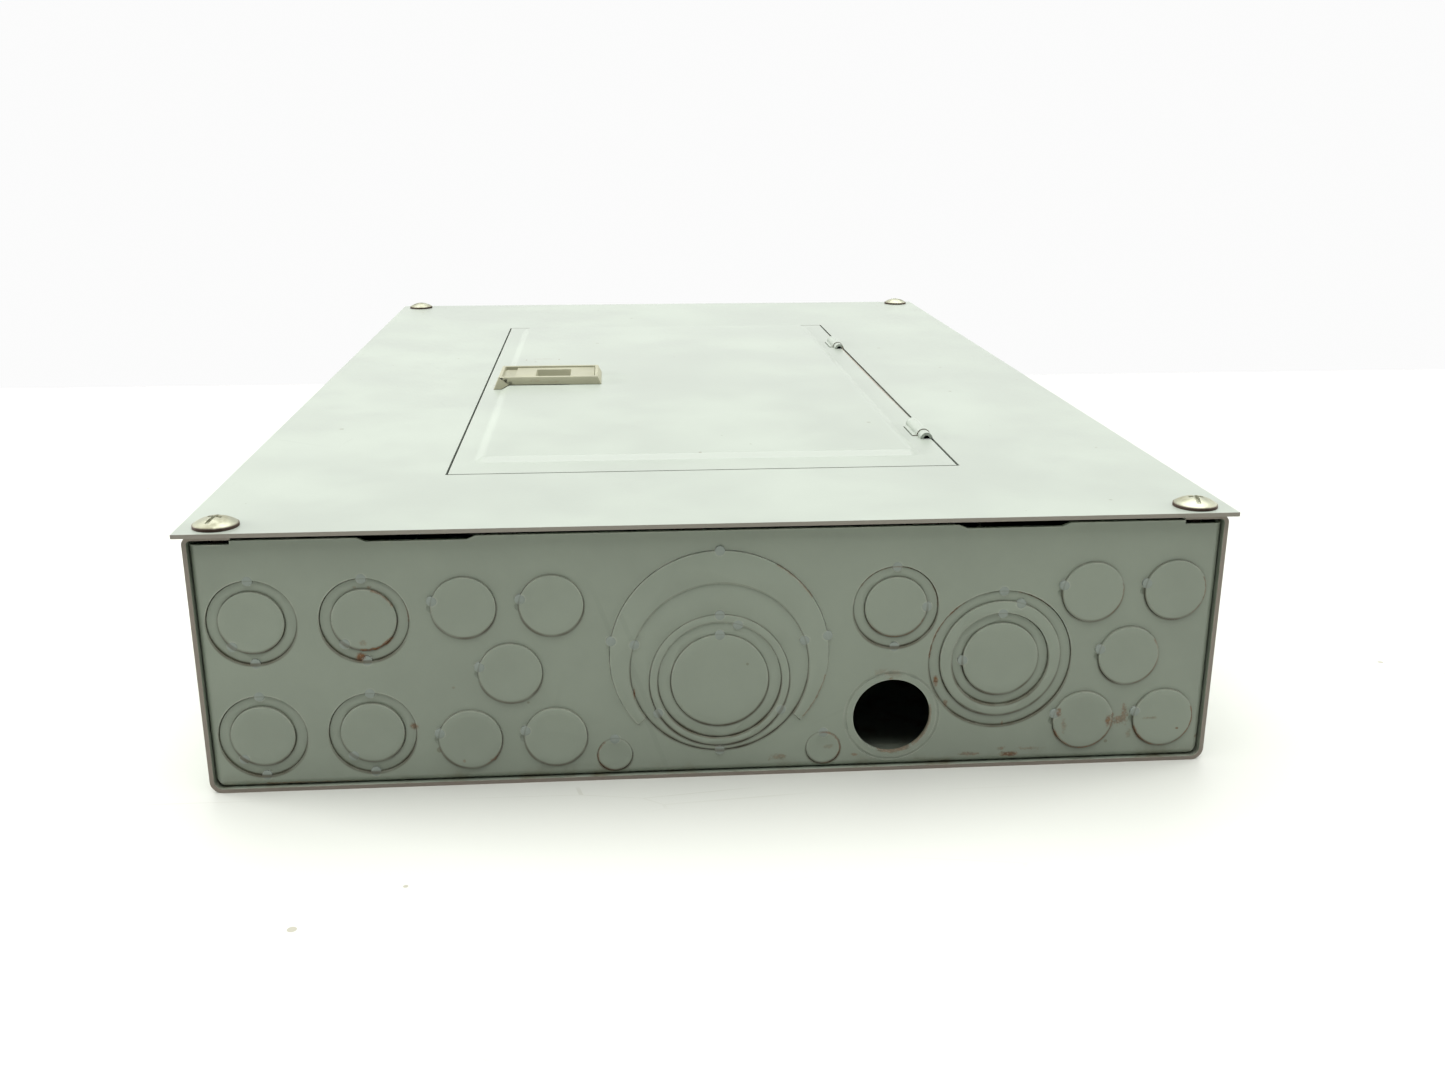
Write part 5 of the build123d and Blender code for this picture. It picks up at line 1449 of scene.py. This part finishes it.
class LOADCENTER_OT_handles(bpy.types.Operator):
    """Mould the breaker handles: one paddle for a branch, two tied, and the wide main one"""

    bl_idname = "load_center.handles"
    bl_label = "Breaker handles"

    def execute(self, context):
        sizes = context.scene.load_center_handles
        black = finished("black_moulding", moulded, context.scene.load_center_plastics.black, rough=0.42)
        single = self.paddle(sizes, sizes.drum_width, sizes.width)
        for name, joint in JOINTS.items():
            if not name.startswith(("branch_throw", "double_throw")):
                continue
            pivot = Vector(joint["pos_m"])
            side = 1 if pivot.x > 0 else -1
            node = frame["record"]["behaviour"]["bodies"][joint["child"]][0]
            low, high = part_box(node)
            half = (high.y - low.y - sizes.drum_width) / 2
            parts = []
            for offset in (-half, half) if half > sizes.drum_width / 2 else (0.0,):
                part = copy_of(single, "paddle")
                turn(-side * sizes.tilt, "Y")
                bpy.ops.transform.translate(value=pivot + Vector((0, offset, 0)))
                parts.append(settle(part))
            if len(parts) > 1:
                tie = new_block(
                    "tie",
                    (-sizes.tip / 2, -half, sizes.reach - sizes.tie),
                    (sizes.tip / 2, half, sizes.reach),
                )
                soften(tie, sizes.softness / 2)
                turn(-side * sizes.tilt, "Y")
                bpy.ops.transform.translate(value=pivot)
                parts.append(settle(tie))
            fit(
                join(parts, node.replace("breaker", "toggle")), joint["child"], [node], black
            )
        bpy.data.objects.remove(single)
        pivot = Vector(JOINTS["main_throw"]["pos_m"])
        low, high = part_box("main_breaker_handle")
        wide = high.x - low.x
        main = self.paddle(sizes, wide, wide)
        turn(math.pi / 2, "Z")
        turn(-sizes.main_tilt, "X")
        bpy.ops.transform.translate(value=pivot)
        main = settle(main, "main_toggle")
        fit(main, "main_handle", ["main_breaker_handle"], black)
        return {"FINISHED"}

    def paddle(self, sizes, drum_width, width):
        """A handle on its own pivot: a round body and a tapered paddle with finger grips."""
        drum = new_disc("drum", (0, 0, 0), sizes.drum, drum_width, "Y")
        soften(drum, sizes.softness / 3, 2)
        low = Vector((-sizes.root / 2, -width / 2, 0))
        paddle = new_block("paddle", low, (-low.x, -low.y, sizes.reach))
        edit(paddle, "FACE", facing((0, 0, 1)))
        bpy.ops.transform.resize(value=(sizes.tip / sizes.root, 1, 1), center_override=(0, 0, sizes.reach))
        close_edit()
        for side in (-1, 1):
            for step in range(sizes.grips):
                height = sizes.reach - (step + 1) * 2.0 * sizes.grip
                lean = (sizes.root - sizes.tip) / 2 * height / sizes.reach
                groove = new_disc(
                    "groove", (side * (sizes.root / 2 - lean + sizes.grip * 0.3), 0, height), sizes.grip / 2,
                    width - 2 * sizes.grip, "Y", 16,
                )
                carve(paddle, groove)
        soften(paddle, sizes.softness / 2, 2)
        return join([drum, paddle], "paddle")


class LOADCENTER_OT_breakers(bpy.types.Operator):
    """Finish the breaker cases and the blank plates"""

    bl_idname = "load_center.breakers"
    bl_label = "Breaker cases and blanks"

    def execute(self, context):
        plastics = context.scene.load_center_plastics
        cases = [name for name in frame["nodes"] if name.endswith("_case")]
        coat(cases, finished("case_moulding", moulded, plastics.black, rough=0.5, grain=900.0))
        coat(
            ["filler_plates"],
            finished("blank_moulding", moulded, tuple(1.4 * part for part in plastics.black)),
        )
        return {"FINISHED"}


class LOADCENTER_OT_card(bpy.types.Operator):
    """Rule the directory card inside the door"""

    bl_idname = "load_center.card"
    bl_label = "Directory card"

    def execute(self, context):
        coat(["directory_card"], finished("ruled_card", card_stock, *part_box("directory_card")))
        return {"FINISHED"}


class LOADCENTER_OT_interior(bpy.types.Operator):
    """Finish the pan, the rails and the bus"""

    bl_idname = "load_center.interior"
    bl_label = "Pan, rails and bus"

    def execute(self, context):
        metals = context.scene.load_center_metals
        plastics = context.scene.load_center_plastics
        zinc = finished("galvanised_sheet", bare_metal, metals.galvanised, rough=0.42, tarnish=0.25)
        coat(["interior_pan", "mounting_rail_left", "mounting_rail_right", "hinge_pins"], zinc)
        coat(["bus_bar_left", "bus_bar_right"], finished("tinned_bar", bare_metal, metals.tin, rough=0.3))
        coat(["bus_base", "neutral_insulators"], finished("insulator_moulding", moulded, plastics.insulator))
        others = ("cover_screws", "bonding_screw")
        screws = [name for name in frame["nodes"] if "screw" in name and name not in others]
        coat(
            screws,
            finished("zinc_screw", bare_metal, metals.zinc, rough=0.38, brushed=(1, 1, 1), tarnish=0.35),
        )
        return {"FINISHED"}


class LOADCENTER_OT_neutral(bpy.types.Operator):
    """Finish the neutral bars, the lugs and the ground bar"""

    bl_idname = "load_center.neutral"
    bl_label = "Neutral, lugs and ground"

    def execute(self, context):
        metals = context.scene.load_center_metals
        drawn = finished("drawn_aluminium", bare_metal, metals.aluminium, rough=0.34, brushed=(30, 1, 30))
        bars = [
            "neutral_bar_left",
            "neutral_bar_right",
            "neutral_crossover",
            "neutral_lug",
            "main_lugs",
            "ground_bar",
        ]
        coat(bars, drawn)
        green = finished("green_zinc", bare_metal, metals.green, rough=0.4, brushed=(1, 1, 1), tarnish=0.2)
        coat(["bonding_screw"], green)
        return {"FINISHED"}


class LOADCENTER_OT_stage(bpy.types.Operator):
    """Set up the floor, the light and the camera"""

    bl_idname = "load_center.stage"
    bl_label = "Stage"

    # The floor's size, and where each side light stands: out to its side, behind the lower end and up.
    floor_size = 14
    side_place = (1.3, 0.25, 0.25)
    side_size = 0.7

    def execute(self, context):
        stage = context.scene.load_center_stage
        low, high = CAD_BOX
        deselect()
        bpy.ops.mesh.primitive_plane_add(size=self.floor_size, location=(0, 0, low.z))
        floor = settle(bpy.context.object, "floor")
        material, tree, shader, place = new_material("floor_vinyl")
        drift = noise(tree, place, 3.0, 4.0)
        tint = blend_colours(tree, drift, tuple(0.985 * part for part in stage.floor), stage.floor)
        marks = group_in(tree, hair_scratches, vector=place, scale=7.0, width=0.004, cover=0.22)["Mask"]
        tint = blend_colours(tree, marks, tint, (0.24, 0.23, 0.15))
        dots = group_in(tree, specks, vector=place, scale=30.0, size=0.05)["Mask"]
        tint = blend_colours(tree, calc(tree, "MULTIPLY", dots, 0.6), tint, (0.20, 0.18, 0.10))
        tree.links.new(tint, shader.inputs["Base Color"])
        shader.inputs["Roughness"].default_value = 0.5
        wall = add_node(
            tree, "ShaderNodeEmission", {"Color": (1, 1, 1, 1), "Strength": stage.backdrop}
        ).outputs[0]
        past = calc(tree, "GREATER_THAN", axis_of(tree, place, "Y"), stage.foot)
        mixer = add_node(tree, "ShaderNodeMixShader", {0: past, 1: shader.outputs[0], 2: wall}).outputs[0]
        ending = next(node for node in tree.nodes if node.type == "OUTPUT_MATERIAL")
        tree.links.new(mixer, ending.inputs["Surface"])
        floor.data.materials.append(material)

        world = bpy.data.worlds.new("studio")
        context.scene.world = world
        world.use_nodes = True
        tree = world.node_tree
        tree.nodes.clear()
        path = add_node(tree, "ShaderNodeLightPath").outputs
        seen = calc(tree, "MAXIMUM", path["Is Camera Ray"], path["Is Glossy Ray"])
        dim = add_node(
            tree, "ShaderNodeBackground", {"Color": (1, 1, 1, 1), "Strength": stage.ambient}
        ).outputs[0]
        bright = add_node(
            tree, "ShaderNodeBackground", {"Color": (1, 1, 1, 1), "Strength": stage.backdrop}
        ).outputs[0]
        mixer = add_node(tree, "ShaderNodeMixShader", {0: seen, 1: dim, 2: bright}).outputs[0]
        add_node(tree, "ShaderNodeOutputWorld", {"Surface": mixer})

        deselect()
        bpy.ops.object.light_add(type="SUN", location=(0, 0.7, 2.2))
        light = bpy.context.object
        light.name = "softbox"
        light.data.angle = stage.softness
        light.data.energy = stage.softbox
        light.rotation_euler = (-stage.lean, 0, 0)

        out, behind, up = self.side_place
        for side, power in ((-1, stage.side_left), (1, stage.side_right)):
            bpy.ops.object.light_add(type="AREA", location=(side * out, low.y + behind, up))
            light = bpy.context.object
            light.name = "side_light"
            light.data.size = self.side_size
            light.data.energy = power
            light.rotation_euler = (
                Vector((0, low.y, high.z / 2)) - light.location
            ).to_track_quat("-Z", "Y").to_euler()

        bpy.ops.object.camera_add(location=stage.place)
        camera = bpy.context.object
        aim = (
            Matrix.Rotation(stage.heading, 3, "Z")
            @ Matrix.Rotation(math.pi / 2 - stage.tilt, 3, "X")
            @ Matrix.Rotation(stage.roll, 3, "Z")
        )
        camera.rotation_euler = aim.to_euler()
        camera.data.lens = stage.lens
        camera.data.sensor_width = 36.0
        camera.data.clip_start = 0.02
        context.scene.camera = camera
        context.scene.view_settings.view_transform = "Standard"
        return {"FINISHED"}


# ================================================================ panel and registration
SETTINGS = {
    "load_center_paint": PaintSettings,
    "load_center_plastics": PlasticSettings,
    "load_center_metals": MetalSettings,
    "load_center_knockouts": KnockoutSettings,
    "load_center_screws": ScrewSettings,
    "load_center_door": DoorSettings,
    "load_center_latch": LatchSettings,
    "load_center_handles": HandleSettings,
    "load_center_stage": StageSettings,
}
OPERATORS = (
    LOADCENTER_OT_stage,
    LOADCENTER_OT_box,
    LOADCENTER_OT_end_walls,
    LOADCENTER_OT_cover,
    LOADCENTER_OT_cover_screws,
    LOADCENTER_OT_door,
    LOADCENTER_OT_latch_bezel,
    LOADCENTER_OT_latch_slide,
    LOADCENTER_OT_handles,
    LOADCENTER_OT_breakers,
    LOADCENTER_OT_card,
    LOADCENTER_OT_interior,
    LOADCENTER_OT_neutral,
)


class LOADCENTER_PT_panel(bpy.types.Panel):
    """Lists the settings and the pieces"""

    bl_idname = "LOADCENTER_PT_panel"
    bl_label = "Load Center"
    bl_space_type = "VIEW_3D"
    bl_region_type = "UI"
    bl_category = "Load Center"

    def draw(self, context):
        for name, group in SETTINGS.items():
            box = self.layout.box()
            box.label(text=group.__doc__.split(".")[0])
            for key in group.__annotations__:
                box.prop(getattr(context.scene, name), key)
        for operator in OPERATORS:
            self.layout.operator(operator.bl_idname)


def register():
    """Registers the settings, the operators and the panel."""
    for name, group in SETTINGS.items():
        bpy.utils.register_class(group)
        setattr(bpy.types.Scene, name, PointerProperty(type=group))
    for item in (*OPERATORS, LOADCENTER_PT_panel):
        bpy.utils.register_class(item)


def unregister():
    """Takes them away again."""
    for item in reversed((*OPERATORS, LOADCENTER_PT_panel)):
        bpy.utils.unregister_class(item)
    for name, group in reversed(SETTINGS.items()):
        delattr(bpy.types.Scene, name)
        bpy.utils.unregister_class(group)


def main():
    """Builds every piece in order."""
    register()
    for operator in OPERATORS:
        group, name = operator.bl_idname.split(".")
        getattr(getattr(bpy.ops, group), name)()
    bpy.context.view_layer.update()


if __name__ == "__main__":
    main()
